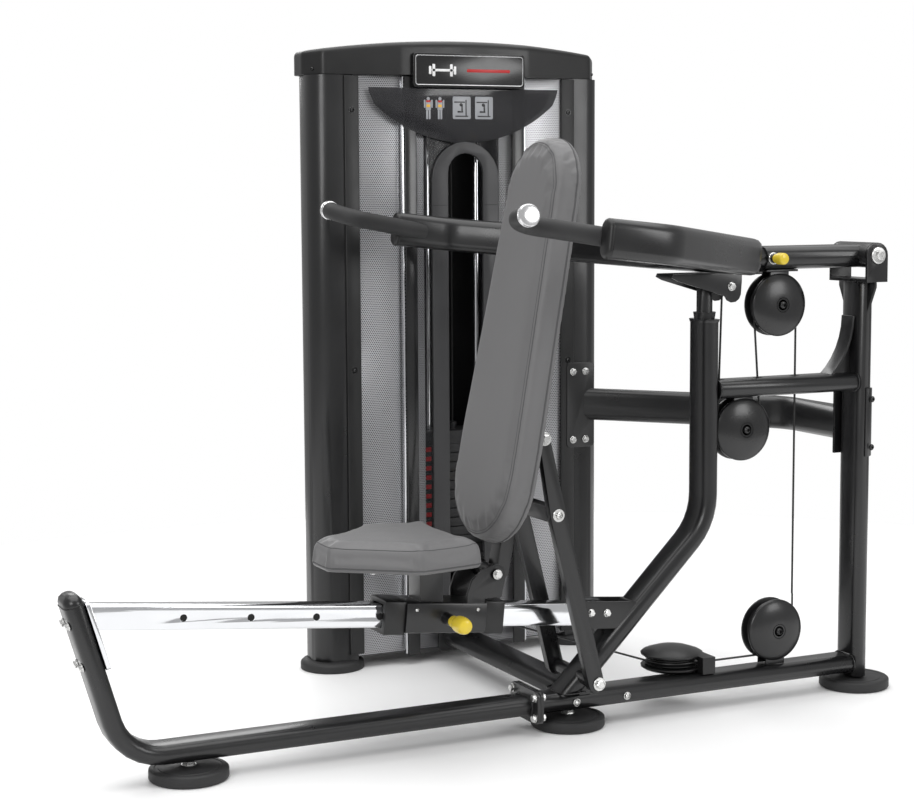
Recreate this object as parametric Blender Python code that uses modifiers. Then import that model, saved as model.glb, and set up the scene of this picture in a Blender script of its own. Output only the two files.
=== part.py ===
"""Shoulder press machine with a sliding seat and a reclining back: frame, weight tower and press arm.

Metres, +Z up. The origin is the centre of the middle foot's contact face. -X is the user's front,
+Y is the side of the weight tower. Each visible object is one piece of the machine.
"""

import math

import bmesh
import bpy
from mathutils import Matrix, Vector

# ---------------------------------------------------------------- driving dimensions
GAP = 0.0003
TUBE_WIDE = 0.084
TUBE_THIN = 0.042
ROUND_STEPS = 6

BASE_Z = 0.062
FLANGE_X = -0.104
FLANGE_THICK = 0.008
FRONT_CORNER_X = -1.035
FRONT_TOP = (-1.131, 0.391)
FRONT_BEND = 0.11

FOOT_RADIUS = 0.0835
FOOT_THICK = 0.025
STUD_RADIUS = 0.011
FRONT_FOOT_X = -0.893
REAR_FOOT_X = 0.792

UPRIGHT_X = 0.784
UPRIGHT_BOTTOM = 0.031
UPRIGHT_TOP = 0.984
POST_X = 0.355
POST_TOP = 0.906
POST_RISE = 0.087
POST_BEND = 0.15
STOP_RADIUS = 0.0185
STOP_TOP = 1.0074
CROSS_Z = 0.746
TIE_X = 0.045

PIVOT = Vector((0.785, 0.0, 1.047))
PIN_RADIUS = 0.0125
PIN_CLEAR = 0.0004
HUB_RADIUS = 0.030
HUB_HALF = 0.065
CLEVIS_INNER = 0.0665
CLEVIS_OUTER = 0.0735

ARM_Z = 1.045
SLEEVE_FRONT = 0.50
SLEEVE_TALL = 0.054
INNER_TALL = 0.046
INNER_WIDE = 0.076
ARM_CLEAR = 0.0006

YOKE_TALL = 0.080
YOKE_THIN = 0.040
YOKE_LIFT = 0.010
YOKE_RISE = math.radians(6.0)
YOKE_HALF = 0.507
YOKE_REAR_HALF = 0.21
YOKE_REAR_X = 0.355
YOKE_BEND_X = -0.05
YOKE_FRONT_X = -0.19
GRIP_RADIUS = 0.0195
HANDLE_X = -0.362
HANDLE_BEND = 0.045
CAP_RADIUS = 0.022

PULLEY_RADIUS = 0.064
PULLEY_GROOVE = 0.0590
PULLEY_WIDTH = 0.016
COVER_RADIUS = 0.0735
COVER_OFFSET = 0.0125
COVER_DOME = 0.022
TAB_INNER = 0.0140
TAB_OUTER = 0.0185
AXLE_RADIUS = 0.006
ARM_PULLEY = Vector((0.548, 0.0, 0.936))
MID_PULLEY = Vector((0.452, 0.0, 0.650))
LOW_PULLEY = Vector((0.549, 0.0, 0.1655))
FLOOR_PULLEY = Vector((0.31, PULLEY_GROOVE, LOW_PULLEY.z - PULLEY_GROOVE))
CABLE_RADIUS = 0.0025
ANCHOR = Vector((0.404, 0.0, 0.983))

RAIL_PITCH = math.radians(5.33)
RAIL_SIDE = 0.050
RAIL_FRONT = -1.125
RAIL_REAR = 0.095
RAIL_POINT = Vector((-0.5035, 0.0, 0.3055))
HOLE_STEP = 0.145
HOLE_COUNT = 5
SEAT_HOLE_X = -0.325
HOLE_RADIUS = 0.0075
CARRIAGE_FRONT = -0.418
CARRIAGE_REAR = -0.229
CARRIAGE_HALF = 0.048
PIN_BOSS = 0.036

HINGE = Vector((-0.203, 0.0, 0.374))
STRUT_FOOT = Vector((0.022, 0.0, 0.116))
STRUT_BEND = Vector((-0.080, 0.0, 0.502))
STRUT_TOP = Vector((-0.114, 0.0, 0.672))
STRUT_Y = 0.094
STRUT_THICK = 0.020
STRUT_WIDE = 0.038
BACK_TILT = math.radians(79.0)
BACK_FRONT = -0.055
BACK_REAR = 0.008

SEAT_LOW = 0.412
SEAT_TOP = 0.470
SEAT_REAR = -0.280
SEAT_SIDE_FRONT = -0.435
SEAT_TIP = -0.605
SEAT_HALF = 0.180

TOWER_X = 0.072
TOWER_HALF = 0.403
TOWER_FRONT = 0.690
TOWER_BACK = 0.810
COLUMN_HALF_IN = 0.296
PANEL_HALF_IN = 0.155
COVER_FRONT = 0.676
SLOT_HALF = 0.0485
SLOT_TOP = 1.295
BEZEL_HALF = 0.093
BEZEL_TOP = 1.324
TOWER_LOW = 0.024
CAP_LOW = 1.486
CAP_TOP = 1.555
STACK_HALF = 0.125
STACK_FRONT = 0.705
STACK_BACK = 0.800
STACK_MID = 0.755
STACK_LOW = 0.222
PLATE_PITCH = 0.024
PLATES_LEFT = 10
PLATES_LIFTED = 4
GUIDE_HALF = 0.070
GUIDE_RADIUS = 0.009
TOWER_PULLEY_Z = 1.390
TOWER_PULLEY_R = 0.050
BEAM_Z = 0.640

BLACK = (0.018, 0.018, 0.019, 1.0)
PLASTIC = (0.03, 0.03, 0.032, 1.0)
VINYL = (0.16, 0.16, 0.165, 1.0)
CHROME = (0.8, 0.8, 0.82, 1.0)
ZINC = (0.55, 0.56, 0.58, 1.0)
YELLOW = (0.85, 0.62, 0.05, 1.0)
SILVER = (0.5, 0.5, 0.52, 1.0)
CLEAR = (0.3, 0.32, 0.33, 1.0)

PARTS = "shoulder_press"
HELPERS = "construction"


# ---------------------------------------------------------------- scene and bookkeeping
def start_scene():
    """Empties the file and makes the two collections."""
    for thing in list(bpy.data.objects):
        bpy.data.objects.remove(thing, do_unlink=True)
    for name in (PARTS, HELPERS):
        collection = bpy.data.collections.new(name)
        bpy.context.scene.collection.children.link(collection)


def make_material(name, colour, roughness, metallic):
    """A plain Principled material."""
    material = bpy.data.materials.new(name)
    material.use_nodes = True
    shader = material.node_tree.nodes["Principled BSDF"]
    shader.inputs["Base Color"].default_value = colour
    shader.inputs["Roughness"].default_value = roughness
    shader.inputs["Metallic"].default_value = metallic
    return material


def make_materials():
    """Every finish on the machine."""
    return {
        "frame": make_material("powder_coat", BLACK, 0.35, 0.0),
        "plastic": make_material("black_plastic", PLASTIC, 0.5, 0.0),
        "rubber": make_material("black_rubber", BLACK, 0.8, 0.0),
        "vinyl": make_material("grey_vinyl", VINYL, 0.55, 0.0),
        "chrome": make_material("chrome", CHROME, 0.08, 1.0),
        "zinc": make_material("zinc_steel", ZINC, 0.3, 1.0),
        "yellow": make_material("yellow_plastic", YELLOW, 0.35, 0.0),
        "silver": make_material("silver_panel", SILVER, 0.4, 0.8),
        "clear": make_material("smoked_cover", CLEAR, 0.15, 0.0),
        "cable": make_material("cable_jacket", BLACK, 0.4, 0.0),
        "iron": make_material("weight_plate", PLASTIC, 0.5, 0.3),
    }


def link(thing, collection=HELPERS):
    """Puts an object in one of the two collections."""
    bpy.data.collections[collection].objects.link(thing)
    return thing


def mesh_object(bm, name="piece"):
    """Turns a bmesh into a linked object with outward faces."""
    bmesh.ops.recalc_face_normals(bm, faces=bm.faces)
    mesh = bpy.data.meshes.new(name)
    bm.to_mesh(mesh)
    bm.free()
    return link(bpy.data.objects.new(name, mesh))


def as_mesh(thing, weld=0.00002):
    """Replaces a curve, or an object with modifiers, by its evaluated mesh in world space."""
    bpy.context.view_layer.update()
    graph = bpy.context.evaluated_depsgraph_get()
    mesh = bpy.data.meshes.new_from_object(thing.evaluated_get(graph))
    mesh.transform(thing.matrix_world)
    bpy.data.objects.remove(thing, do_unlink=True)
    bm = bmesh.new()
    bm.from_mesh(mesh)
    bpy.data.meshes.remove(mesh)
    bmesh.ops.remove_doubles(bm, verts=bm.verts, dist=weld)
    return mesh_object(bm)


def combine(target, tool, operation):
    """Applies one exact Boolean and removes the tool."""
    cut = target.modifiers.new(operation, "BOOLEAN")
    cut.operation = operation
    cut.object = tool
    cut.solver = "EXACT"
    result = as_mesh(target)
    bpy.data.objects.remove(tool, do_unlink=True)
    return result


def join(target, *others):
    """Welds further shapes into one body."""
    for other in others:
        target = combine(target, other, "UNION")
    return target


def cut(target, *tools):
    """Removes each tool's shape."""
    for tool in tools:
        target = combine(target, tool, "DIFFERENCE")
    return target


def trim(thing, point, normal):
    """Cuts away what lies beyond a plane and caps the cut."""
    bm = bmesh.new()
    bm.from_mesh(thing.data)
    faces = list(bm.verts) + list(bm.edges) + list(bm.faces)
    bmesh.ops.bisect_plane(bm, geom=faces, plane_co=point, plane_no=normal, clear_outer=True)
    open_edges = [edge for edge in bm.edges if edge.is_boundary]
    bmesh.ops.holes_fill(bm, edges=open_edges, sides=0)
    bmesh.ops.recalc_face_normals(bm, faces=bm.faces)
    bm.to_mesh(thing.data)
    bm.free()
    return thing


def move(thing, matrix):
    """Transforms a mesh in place."""
    thing.data.transform(matrix)
    if matrix.determinant() < 0:
        thing.data.flip_normals()
    return thing


def keep(thing, name, material, parent=None):
    """Names a finished piece, dresses it and hangs it on its joint's empty."""
    thing.name = name
    thing.data.name = name
    thing.data.materials.clear()
    thing.data.materials.append(material)
    thing.data.shade_smooth()
    thing.data.set_sharp_from_angle(angle=math.radians(35))
    bpy.data.collections[HELPERS].objects.unlink(thing)
    link(thing, PARTS)
    if parent is not None:
        thing.parent = parent
        thing.matrix_parent_inverse = parent.matrix_world.inverted()
    return thing


def joint_empty(name, position, parent=None):
    """An empty on a joint's axis, which carries the pieces that move with it."""
    empty = link(bpy.data.objects.new(name, None), PARTS)
    empty.empty_display_size = 0.05
    empty.location = position
    bpy.context.view_layer.update()
    if parent is not None:
        empty.parent = parent
        empty.matrix_parent_inverse = parent.matrix_world.inverted()
    bpy.context.view_layer.update()
    return empty


# ---------------------------------------------------------------- shapes
def box(low, high):
    """A block between two corners."""
    bm = bmesh.new()
    bmesh.ops.create_cube(bm, size=1.0)
    size = Vector(high) - Vector(low)
    middle = (Vector(high) + Vector(low)) / 2
    bmesh.ops.scale(bm, vec=size, verts=bm.verts)
    bmesh.ops.translate(bm, vec=middle, verts=bm.verts)
    return mesh_object(bm)


def rod(start, end, radius, sides=16):
    """A cylinder between two points."""
    start, end = Vector(start), Vector(end)
    bm = bmesh.new()
    length = (end - start).length
    bmesh.ops.create_cone(
        bm, cap_ends=True, segments=sides, radius1=radius, radius2=radius, depth=length
    )
    turn = (end - start).to_track_quat("Z", "Y").to_matrix().to_4x4()
    place = Matrix.Translation((start + end) / 2) @ turn
    bmesh.ops.transform(bm, matrix=place, verts=bm.verts)
    return mesh_object(bm)


def turned(profile, centre, axis=(0, 0, 1), sides=20):
    """A solid of revolution: (radius, height) pairs from the top down, closed on the axis."""
    bm = bmesh.new()
    verts = [bm.verts.new((radius, 0.0, height)) for radius, height in profile]
    for first, second in zip(verts, verts[1:]):
        bm.edges.new((first, second))
    mesh = bpy.data.meshes.new("profile")
    bm.to_mesh(mesh)
    bm.free()
    thing = link(bpy.data.objects.new("profile", mesh))
    screw = thing.modifiers.new("screw", "SCREW")
    screw.angle = math.tau
    screw.steps = sides
    screw.render_steps = sides
    screw.use_merge_vertices = True
    screw.merge_threshold = 0.00001
    turn = Vector(axis).to_track_quat("Z", "Y").to_matrix().to_4x4()
    thing.matrix_world = Matrix.Translation(centre) @ turn
    return as_mesh(thing)


def arc(centre, radius, start, end, steps):
    """Points on an arc, angles in degrees."""
    points = []
    for step in range(steps + 1):
        angle = math.radians(start + (end - start) * step / steps)
        x = centre[0] + radius * math.cos(angle)
        y = centre[1] + radius * math.sin(angle)
        points.append((x, y))
    return points


def rounded(points, radius, steps=4, closed=False):
    """A path or outline whose corners are replaced by arcs."""
    count = len(points)
    result = []
    for index, point in enumerate(points):
        here = Vector(point)
        if not closed and index in (0, count - 1):
            result.append(here)
            continue
        before = (Vector(points[index - 1]) - here).normalized()
        after = (Vector(points[(index + 1) % count]) - here).normalized()
        half = before.angle(after) / 2
        if radius <= 0 or half > math.radians(89):
            result.append(here)
            continue
        reach = radius / math.tan(half)
        centre = here + (before + after).normalized() * (radius / math.sin(half))
        first = here + before * reach - centre
        last = here + after * reach - centre
        sweep = math.pi - 2 * half
        for step in range(steps + 1):
            angle = sweep * step / steps
            mixed = first * math.sin(sweep - angle) + last * math.sin(angle)
            result.append(centre + mixed / math.sin(sweep))
    return result


def stadium(wide, thin, steps=ROUND_STEPS):
    """A flat-oval section, wide along its second axis."""
    radius = thin / 2
    straight = (wide - thin) / 2
    lower = arc((0.0, -straight), radius, 180, 360, steps)
    upper = arc((0.0, straight), radius, 0, 180, steps)
    return lower + upper


def line_curve(points, cyclic=False, flat=False):
    """A poly curve through points."""
    curve = bpy.data.curves.new("line", "CURVE")
    curve.dimensions = "2D" if flat else "3D"
    spline = curve.splines.new("POLY")
    spline.points.add(len(points) - 1)
    for slot, point in zip(spline.points, points):
        place = Vector(point).to_3d()
        slot.co = (place.x, place.y, place.z, 1.0)
    spline.use_cyclic_u = cyclic
    return link(bpy.data.objects.new("line", curve))


PLANES = {
    "XY": Matrix.Identity(4),
    "XZ": Matrix.Rotation(math.radians(90), 4, "X"),
    "YZ": Matrix.Rotation(math.radians(90), 4, "Z") @ Matrix.Rotation(math.radians(90), 4, "X"),
}


def section_tube(points, wide, thin, plane="XZ", offset=0.0, place=None):
    """A flat-oval tube along a path drawn in one plane, its wide side across that plane."""
    section = line_curve(stadium(wide, thin), cyclic=True, flat=True)
    path = line_curve(points)
    path.data.twist_mode = "Z_UP"
    path.data.bevel_mode = "OBJECT"
    path.data.bevel_object = section
    path.data.use_fill_caps = True
    matrix = PLANES[plane] @ Matrix.Translation((0.0, 0.0, offset))
    if place is not None:
        matrix = place @ matrix
    path.matrix_world = matrix
    solid = as_mesh(path)
    bpy.data.objects.remove(section, do_unlink=True)
    return solid


def round_tube(points, radius, resolution=3):
    """A round bar along a 3D path."""
    path = line_curve([Vector(point).to_3d() for point in points])
    path.data.bevel_depth = radius
    path.data.bevel_resolution = resolution
    path.data.use_fill_caps = True
    return as_mesh(path)


def plate(outline, thickness, plane="XZ", offset=0.0):
    """A flat plate from its outline; offset is its middle along the plane's normal."""
    shape = line_curve(outline, cyclic=True, flat=True)
    shape.data.fill_mode = "BOTH"
    shape.data.extrude = thickness / 2
    shape.matrix_world = PLANES[plane] @ Matrix.Translation((0.0, 0.0, offset))
    return as_mesh(shape)


def tiered(outline, levels):
    """A solid stacked from one outline: (height, inset) pairs from the bottom up."""
    bm = bmesh.new()
    rings = []
    middle = sum((Vector(point) for point in outline), Vector((0.0, 0.0))) / len(outline)
    for height, inset in levels:
        ring = []
        for point in outline:
            out = Vector(point) - middle
            place = middle + out * (1.0 - inset / out.length)
            ring.append(bm.verts.new((place.x, place.y, height)))
        rings.append(ring)
    count = len(outline)
    for lower, upper in zip(rings, rings[1:]):
        for index in range(count):
            after = (index + 1) % count
            bm.faces.new((lower[index], lower[after], upper[after], upper[index]))
    bm.faces.new(rings[0])
    bm.faces.new(rings[-1])
    return mesh_object(bm)


def rounded_box(low, high, radius, plane="XY", steps=3):
    """A block whose four edges along the plane's normal are rounded."""
    spans = {"XY": (0, 1, 2, 1.0), "XZ": (0, 2, 1, -1.0), "YZ": (1, 2, 0, 1.0)}
    first, second, normal, sign = spans[plane]
    corners = [
        (low[first], low[second]),
        (high[first], low[second]),
        (high[first], high[second]),
        (low[first], high[second]),
    ]
    outline = rounded(corners, radius, steps, closed=True)
    thickness = high[normal] - low[normal]
    offset = sign * (high[normal] + low[normal]) / 2
    return plate(outline, thickness, plane, offset)


# ---------------------------------------------------------------- main frame
def post_front_at(height):
    """X of the post's leaning front face at a height."""
    return height - POST_RISE - TUBE_THIN / 2 * math.sqrt(2)


def base_flange(side):
    """One of the two plates that join the front and rear halves of the base."""
    near = FLANGE_X + side * GAP / 2
    far = FLANGE_X + side * FLANGE_THICK
    low = (min(near, far), -0.066, BASE_Z - 0.034)
    high = (max(near, far), 0.066, BASE_Z + 0.040)
    return rounded_box(low, high, 0.014, "YZ")


def build_base(paint):
    """The two base tubes, each welded to its flange; the front one carries an end cap."""
    front_path = [(FLANGE_X - FLANGE_THICK / 2, BASE_Z), (FRONT_CORNER_X, BASE_Z), FRONT_TOP]
    front = section_tube(rounded(front_path, FRONT_BEND, 6), TUBE_WIDE, TUBE_THIN)
    lean = (Vector(FRONT_TOP) - Vector((FRONT_CORNER_X, BASE_Z))).normalized()
    tilt = Matrix.Rotation(math.atan2(lean.x, lean.y), 4, "Y")
    dome = [(-0.001, 0.001), (0.006, 0.001), (0.015, 0.007), (0.020, 0.016)]
    cap = tiered(stadium(TUBE_WIDE, TUBE_THIN), dome)
    top = Vector((FRONT_TOP[0], 0.0, FRONT_TOP[1]))
    move(cap, Matrix.Translation(top) @ tilt)
    keep(join(front, cap, base_flange(-1)), "front_base_tube", paint["frame"])
    rear_end = UPRIGHT_X - TUBE_THIN / 2 - GAP
    rear_path = [(FLANGE_X + FLANGE_THICK / 2, BASE_Z), (rear_end, BASE_Z)]
    rear = section_tube(rear_path, TUBE_WIDE, TUBE_THIN)
    rear = join(rear, base_flange(1), strut_foot_tube())
    keep(rear, "rear_base_tube", paint["frame"])


def strut_foot_tube():
    """The cross tube, welded over the base, whose bolts carry the feet of the struts."""
    inner = STRUT_Y - STRUT_THICK / 2 - GAP
    reach = STRUT_Y + STRUT_THICK / 2 + 0.0008
    x, z = STRUT_FOOT.x, STRUT_FOOT.z
    tube = rod((x, -inner, z), (x, inner, z), 0.0165, 20)
    bolt = rod((x, -reach, z), (x, reach, z), 0.0080, 16)
    saddle = box((x - 0.014, -0.040, BASE_Z + 0.015), (x + 0.014, 0.040, z))
    post_path = [(-0.06, -0.06 + POST_RISE), (0.3, 0.3 + POST_RISE)]
    post_space = section_tube(post_path, TUBE_WIDE + 0.0008, TUBE_THIN + 0.0008)
    post_space = trim(post_space, (0, 0, BASE_Z + TUBE_THIN / 2), (0, 0, -1))
    return cut(join(tube, bolt, saddle), post_space)


def build_feet(paint):
    """The three rubber-faced feet under the frame and the two rings under the tower."""
    bottom = BASE_Z - TUBE_THIN / 2 - GAP
    spots = (
        ("front_foot", FRONT_FOOT_X, bottom),
        ("middle_foot", 0.0, bottom),
        ("rear_foot", REAR_FOOT_X, UPRIGHT_BOTTOM - GAP),
    )
    for name, x, stud_top in spots:
        profile = [
            (0.0, stud_top),
            (STUD_RADIUS, stud_top),
            (STUD_RADIUS, FOOT_THICK),
            (FOOT_RADIUS - 0.004, FOOT_THICK),
            (FOOT_RADIUS, FOOT_THICK - 0.004),
            (FOOT_RADIUS, 0.004),
            (FOOT_RADIUS - 0.003, 0.0),
            (0.0, 0.0),
        ]
        keep(turned(profile, (x, 0.0, 0.0)), name, paint["rubber"])


def tower_foot(side):
    """The round foot ring under a tower column."""
    radius = 0.080
    profile = [(0.0, 0.026), (radius - 0.012, 0.0237), (radius, 0.015), (radius, 0.0), (0.0, 0.0)]
    return turned(profile, (TOWER_X + side * 0.346, 0.745, 0.0))


def build_posts(paint):
    """The bent middle post with its stop, the rear upright and the upper cross tube."""
    corner = (POST_X, POST_X + POST_RISE)
    below = (-0.06, -0.06 + POST_RISE)
    path = rounded([below, corner, (POST_X, POST_TOP)], POST_BEND, 5)
    post = section_tube(path, TUBE_WIDE, TUBE_THIN)
    post = trim(post, (0, 0, BASE_Z + TUBE_THIN / 2 + GAP), (0, 0, -1))
    collar = tiered(stadium(TUBE_WIDE + 0.006, TUBE_THIN + 0.006), [(-0.004, 0.002), (0.003, 0.0)])
    move(collar, Matrix.Translation((POST_X, 0.0, POST_TOP)))
    ring = turned([(0.0, 0.020), (0.026, 0.020), (0.023, 0.0), (0.0, 0.0)],
                  (POST_X, 0.0, POST_TOP - 0.001))
    stop = rod((POST_X, 0, POST_TOP), (POST_X, 0, STOP_TOP), STOP_RADIUS, 16)
    post = join(post, collar, ring, stop, rail_rear_bracket())
    keep(post, "middle_post", paint["frame"])
    upright = section_tube([(UPRIGHT_X, UPRIGHT_BOTTOM), (UPRIGHT_X, UPRIGHT_TOP - GAP)],
                           TUBE_WIDE, TUBE_THIN)
    for side in (-1, 1):
        top = UPRIGHT_TOP - GAP
        inner = side * (TUBE_WIDE / 2 - 0.004)
        outline = [(inner, top), (side * 0.070, top), (side * 0.070, top - 0.012), (inner, top - 0.079)]
        upright = join(upright, plate(outline, 0.006, "YZ", UPRIGHT_X))
    keep(upright, "rear_upright", paint["frame"])
    start = POST_X + TUBE_THIN / 2 + GAP
    end = UPRIGHT_X - TUBE_THIN / 2 - GAP
    cross = section_tube([(start, CROSS_Z), (end, CROSS_Z)], TUBE_WIDE, TUBE_THIN)
    slots = []
    for x in (0.398, MID_PULLEY.x + PULLEY_GROOVE - 0.007, ARM_PULLEY.x + PULLEY_GROOVE):
        slots.append(box((x - 0.012, -0.008, CROSS_Z - 0.05), (x + 0.012, 0.008, CROSS_Z + 0.05)))
    cross = join(cut(cross, *slots), corner_gusset())
    keep(cross, "cross_tube", paint["frame"])


def corner_gusset():
    """The curved corner gusset between the cross tube and the upright."""
    low = CROSS_Z + TUBE_THIN / 2 - 0.001
    rear = UPRIGHT_X - TUBE_THIN / 2 - GAP
    tall, sweep, radius = 0.137, 49.0, 0.186
    centre = (rear - 0.008 - radius, low + tall)
    curve = arc(centre, radius, -sweep, 0, 6)
    gusset = plate(curve + [(rear, low + tall), (rear, low)], 0.005)
    strip = plate(curve + arc(centre, radius + 0.006, 0, -sweep, 6), 0.044)
    strip = trim(strip, (0, 0, low), (0, 0, -1))
    strip = trim(strip, (rear, 0, 0), (1, 0, 0))
    return join(gusset, strip)


def build_clevis(paint):
    """The forked bracket on the upright, and the pivot pin through it."""
    half = 0.030
    low = UPRIGHT_TOP
    base = box((PIVOT.x - half, -CLEVIS_OUTER, low), (PIVOT.x + half, CLEVIS_OUTER, low + 0.008))
    outline = [(PIVOT.x - half, low + 0.004), (PIVOT.x + half, low + 0.004)]
    outline += arc((PIVOT.x, PIVOT.z), half, 0, 180, 10)
    for side in (-1, 1):
        middle = -side * (CLEVIS_INNER + CLEVIS_OUTER) / 2
        cheek = plate(outline, CLEVIS_OUTER - CLEVIS_INNER, "XZ", middle)
        base = join(base, cheek)
    hole = rod((PIVOT.x, -0.1, PIVOT.z), (PIVOT.x, 0.1, PIVOT.z), PIN_RADIUS + PIN_CLEAR, 24)
    keep(cut(base, hole), "pivot_bracket", paint["frame"])
    reach = CLEVIS_OUTER + GAP
    profile = [
        (0.0, reach + 0.006),
        (0.018, reach + 0.006),
        (0.020, reach + 0.004),
        (0.020, reach),
        (PIN_RADIUS, reach),
        (PIN_RADIUS, -reach),
        (0.020, -reach),
        (0.020, -reach - 0.004),
        (0.018, -reach - 0.006),
        (0.0, -reach - 0.006),
    ]
    keep(turned(profile, PIVOT, (0, 1, 0)), "pivot_pin", paint["zinc"])


def build_beam(paint):
    """The tube that ties the upright to the weight tower, with its end plates."""
    front = TOWER_FRONT - GAP
    plate_back = front
    plate_front = front - 0.008
    pad_low = (0.370, plate_front, BEAM_Z - 0.112)
    pad_high = (0.451, plate_back, BEAM_Z + 0.112)
    pad = rounded_box(pad_low, pad_high, 0.010, "XZ")
    rear_face = TUBE_WIDE / 2 + 0.006
    path = rounded([(0.402, 0.735), (UPRIGHT_X, 0.290), (UPRIGHT_X, rear_face)], 0.13, 6)
    beam = section_tube(path, TUBE_WIDE, TUBE_THIN, "XY", BEAM_Z)
    beam = trim(beam, (0, plate_front + 0.002, 0), (0, 1, 0))
    low, high = BEAM_Z - 0.072, BEAM_Z + 0.091
    back_low = (UPRIGHT_X - 0.030, TUBE_WIDE / 2 + GAP, low)
    back = box(back_low, (UPRIGHT_X + 0.030, rear_face + 0.001, high))
    keep(join(beam, pad, back), "tower_beam", paint["frame"])
    outline = stadium(TUBE_WIDE + 0.009, TUBE_THIN + 0.009)
    wrap = plate(outline, high - low, "XY", (high + low) / 2)
    hollow = plate(stadium(TUBE_WIDE + 0.0006, TUBE_THIN + 0.0006), 1.0, "XY", BEAM_Z)
    clear = box((UPRIGHT_X - 0.1, -0.010, low - 0.1), (UPRIGHT_X + 0.1, 0.1, high + 0.1))
    front_clear = box((UPRIGHT_X - 0.1, -0.1, low - 0.1), (UPRIGHT_X - 0.004, 0.1, high + 0.1))
    shift = Matrix.Translation((UPRIGHT_X, 0, 0))
    move(wrap, shift)
    move(hollow, shift)
    keep(cut(wrap, hollow, clear, front_clear), "beam_clamp_plate", paint["frame"])
    start = TUBE_WIDE / 2 + GAP
    tie_plate_front = TOWER_FRONT - 0.022
    tie_path = [(start, BASE_Z), (tie_plate_front + 0.001, BASE_Z)]
    tie = section_tube(tie_path, TUBE_WIDE, TUBE_THIN, "YZ", TIE_X)
    low = (TIE_X - 0.055, tie_plate_front, BASE_Z - 0.034)
    high = (TIE_X + 0.055, tie_plate_front + 0.008, BASE_Z + 0.038)
    keep(join(tie, rounded_box(low, high, 0.010, "XZ")), "tower_tie_tube", paint["frame"])


# ---------------------------------------------------------------- pulleys and cable
def build_pulley(name, centre, axis, paint, parent, radius=PULLEY_RADIUS):
    """A grooved wheel with a running bore."""
    half = PULLEY_WIDTH / 2
    bore = AXLE_RADIUS + PIN_CLEAR
    groove = radius - PULLEY_RADIUS + PULLEY_GROOVE - CABLE_RADIUS - 0.0014
    profile = [
        (bore, half),
        (radius, half),
        (radius, half - 0.002),
        (groove, CABLE_RADIUS),
        (groove, -CABLE_RADIUS),
        (radius, -half + 0.002),
        (radius, -half),
        (bore, -half),
        (bore, half),
    ]
    keep(turned(profile, centre, axis, 18), name, paint["plastic"], parent)


def pulley_guard(centre, axis):
    """Two domed covers joined by their axle."""
    inner = COVER_OFFSET
    rim = inner + 0.005
    top = inner + COVER_DOME
    dome = [(0.0, top), (COVER_RADIUS * 0.55, top - 0.005), (COVER_RADIUS * 0.92, rim + 0.003)]
    dome += [(COVER_RADIUS, rim - 0.001), (COVER_RADIUS, inner), (AXLE_RADIUS, inner)]
    profile = dome + [(radius, -height) for radius, height in reversed(dome)]
    return turned(profile, centre, axis, 20)


def build_frame_pulleys(paint):
    """The three guide pulleys on the frame."""
    spots = (("mid_pulley", MID_PULLEY), ("low_pulley", LOW_PULLEY))
    for name, centre in spots:
        empty = joint_empty(name + "_axis", centre)
        build_pulley(name, centre, (0, 1, 0), paint, empty)
        guard = pulley_guard(centre, (0, 1, 0))
        if centre is MID_PULLEY:
            low, high = centre.z + 0.030, CROSS_Z - TUBE_THIN / 2 - GAP
        else:
            low, high = BASE_Z + TUBE_THIN / 2 + GAP, centre.z - 0.030
        for side in (-1, 1):
            ends = sorted((side * TAB_INNER, side * TAB_OUTER))
            tab = box((centre.x - 0.024, ends[0], low), (centre.x + 0.024, ends[1], high))
            guard = join(guard, tab)
        keep(guard, name + "_guard", paint["plastic"])
    empty = joint_empty("floor_pulley_axis", FLOOR_PULLEY)
    build_pulley("floor_pulley", FLOOR_PULLEY, (0, 0, 1), paint, empty)
    guard = pulley_guard(FLOOR_PULLEY, (0, 0, 1))
    low = BASE_Z + TUBE_THIN / 2 + GAP
    guard = trim(guard, (0, 0, low), (0, 0, -1))
    rear = FLOOR_PULLEY.x + 0.030
    foot = box((rear, -0.030, low), (rear + 0.034, 0.030, FLOOR_PULLEY.z + COVER_OFFSET + 0.004))
    guard = join(guard, foot)
    groove_side = turned([(0.0, COVER_OFFSET), (PULLEY_RADIUS + 0.003, COVER_OFFSET),
                          (PULLEY_RADIUS + 0.003, -COVER_OFFSET), (0.0, -COVER_OFFSET)], FLOOR_PULLEY)
    axle = rod(FLOOR_PULLEY - Vector((0, 0, 0.02)), FLOOR_PULLEY + Vector((0, 0, 0.02)), AXLE_RADIUS)
    lane = box((rear - 0.05, -0.006, FLOOR_PULLEY.z - 0.006), (rear + 0.1, 0.006, FLOOR_PULLEY.z + 0.006))
    guard = join(cut(guard, groove_side, lane), axle)
    keep(guard, "floor_pulley_guard", paint["plastic"])


def tangent_point(centre, radius, outside, side):
    """Where a line from outside touches a circle, in the XY plane."""
    away = Vector((outside[0] - centre.x, outside[1] - centre.y))
    angle = math.acos(radius / away.length) * side
    turn = Matrix.Rotation(angle, 2)
    point = turn @ away.normalized() * radius
    return Vector((centre.x + point.x, centre.y + point.y, centre.z))


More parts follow.
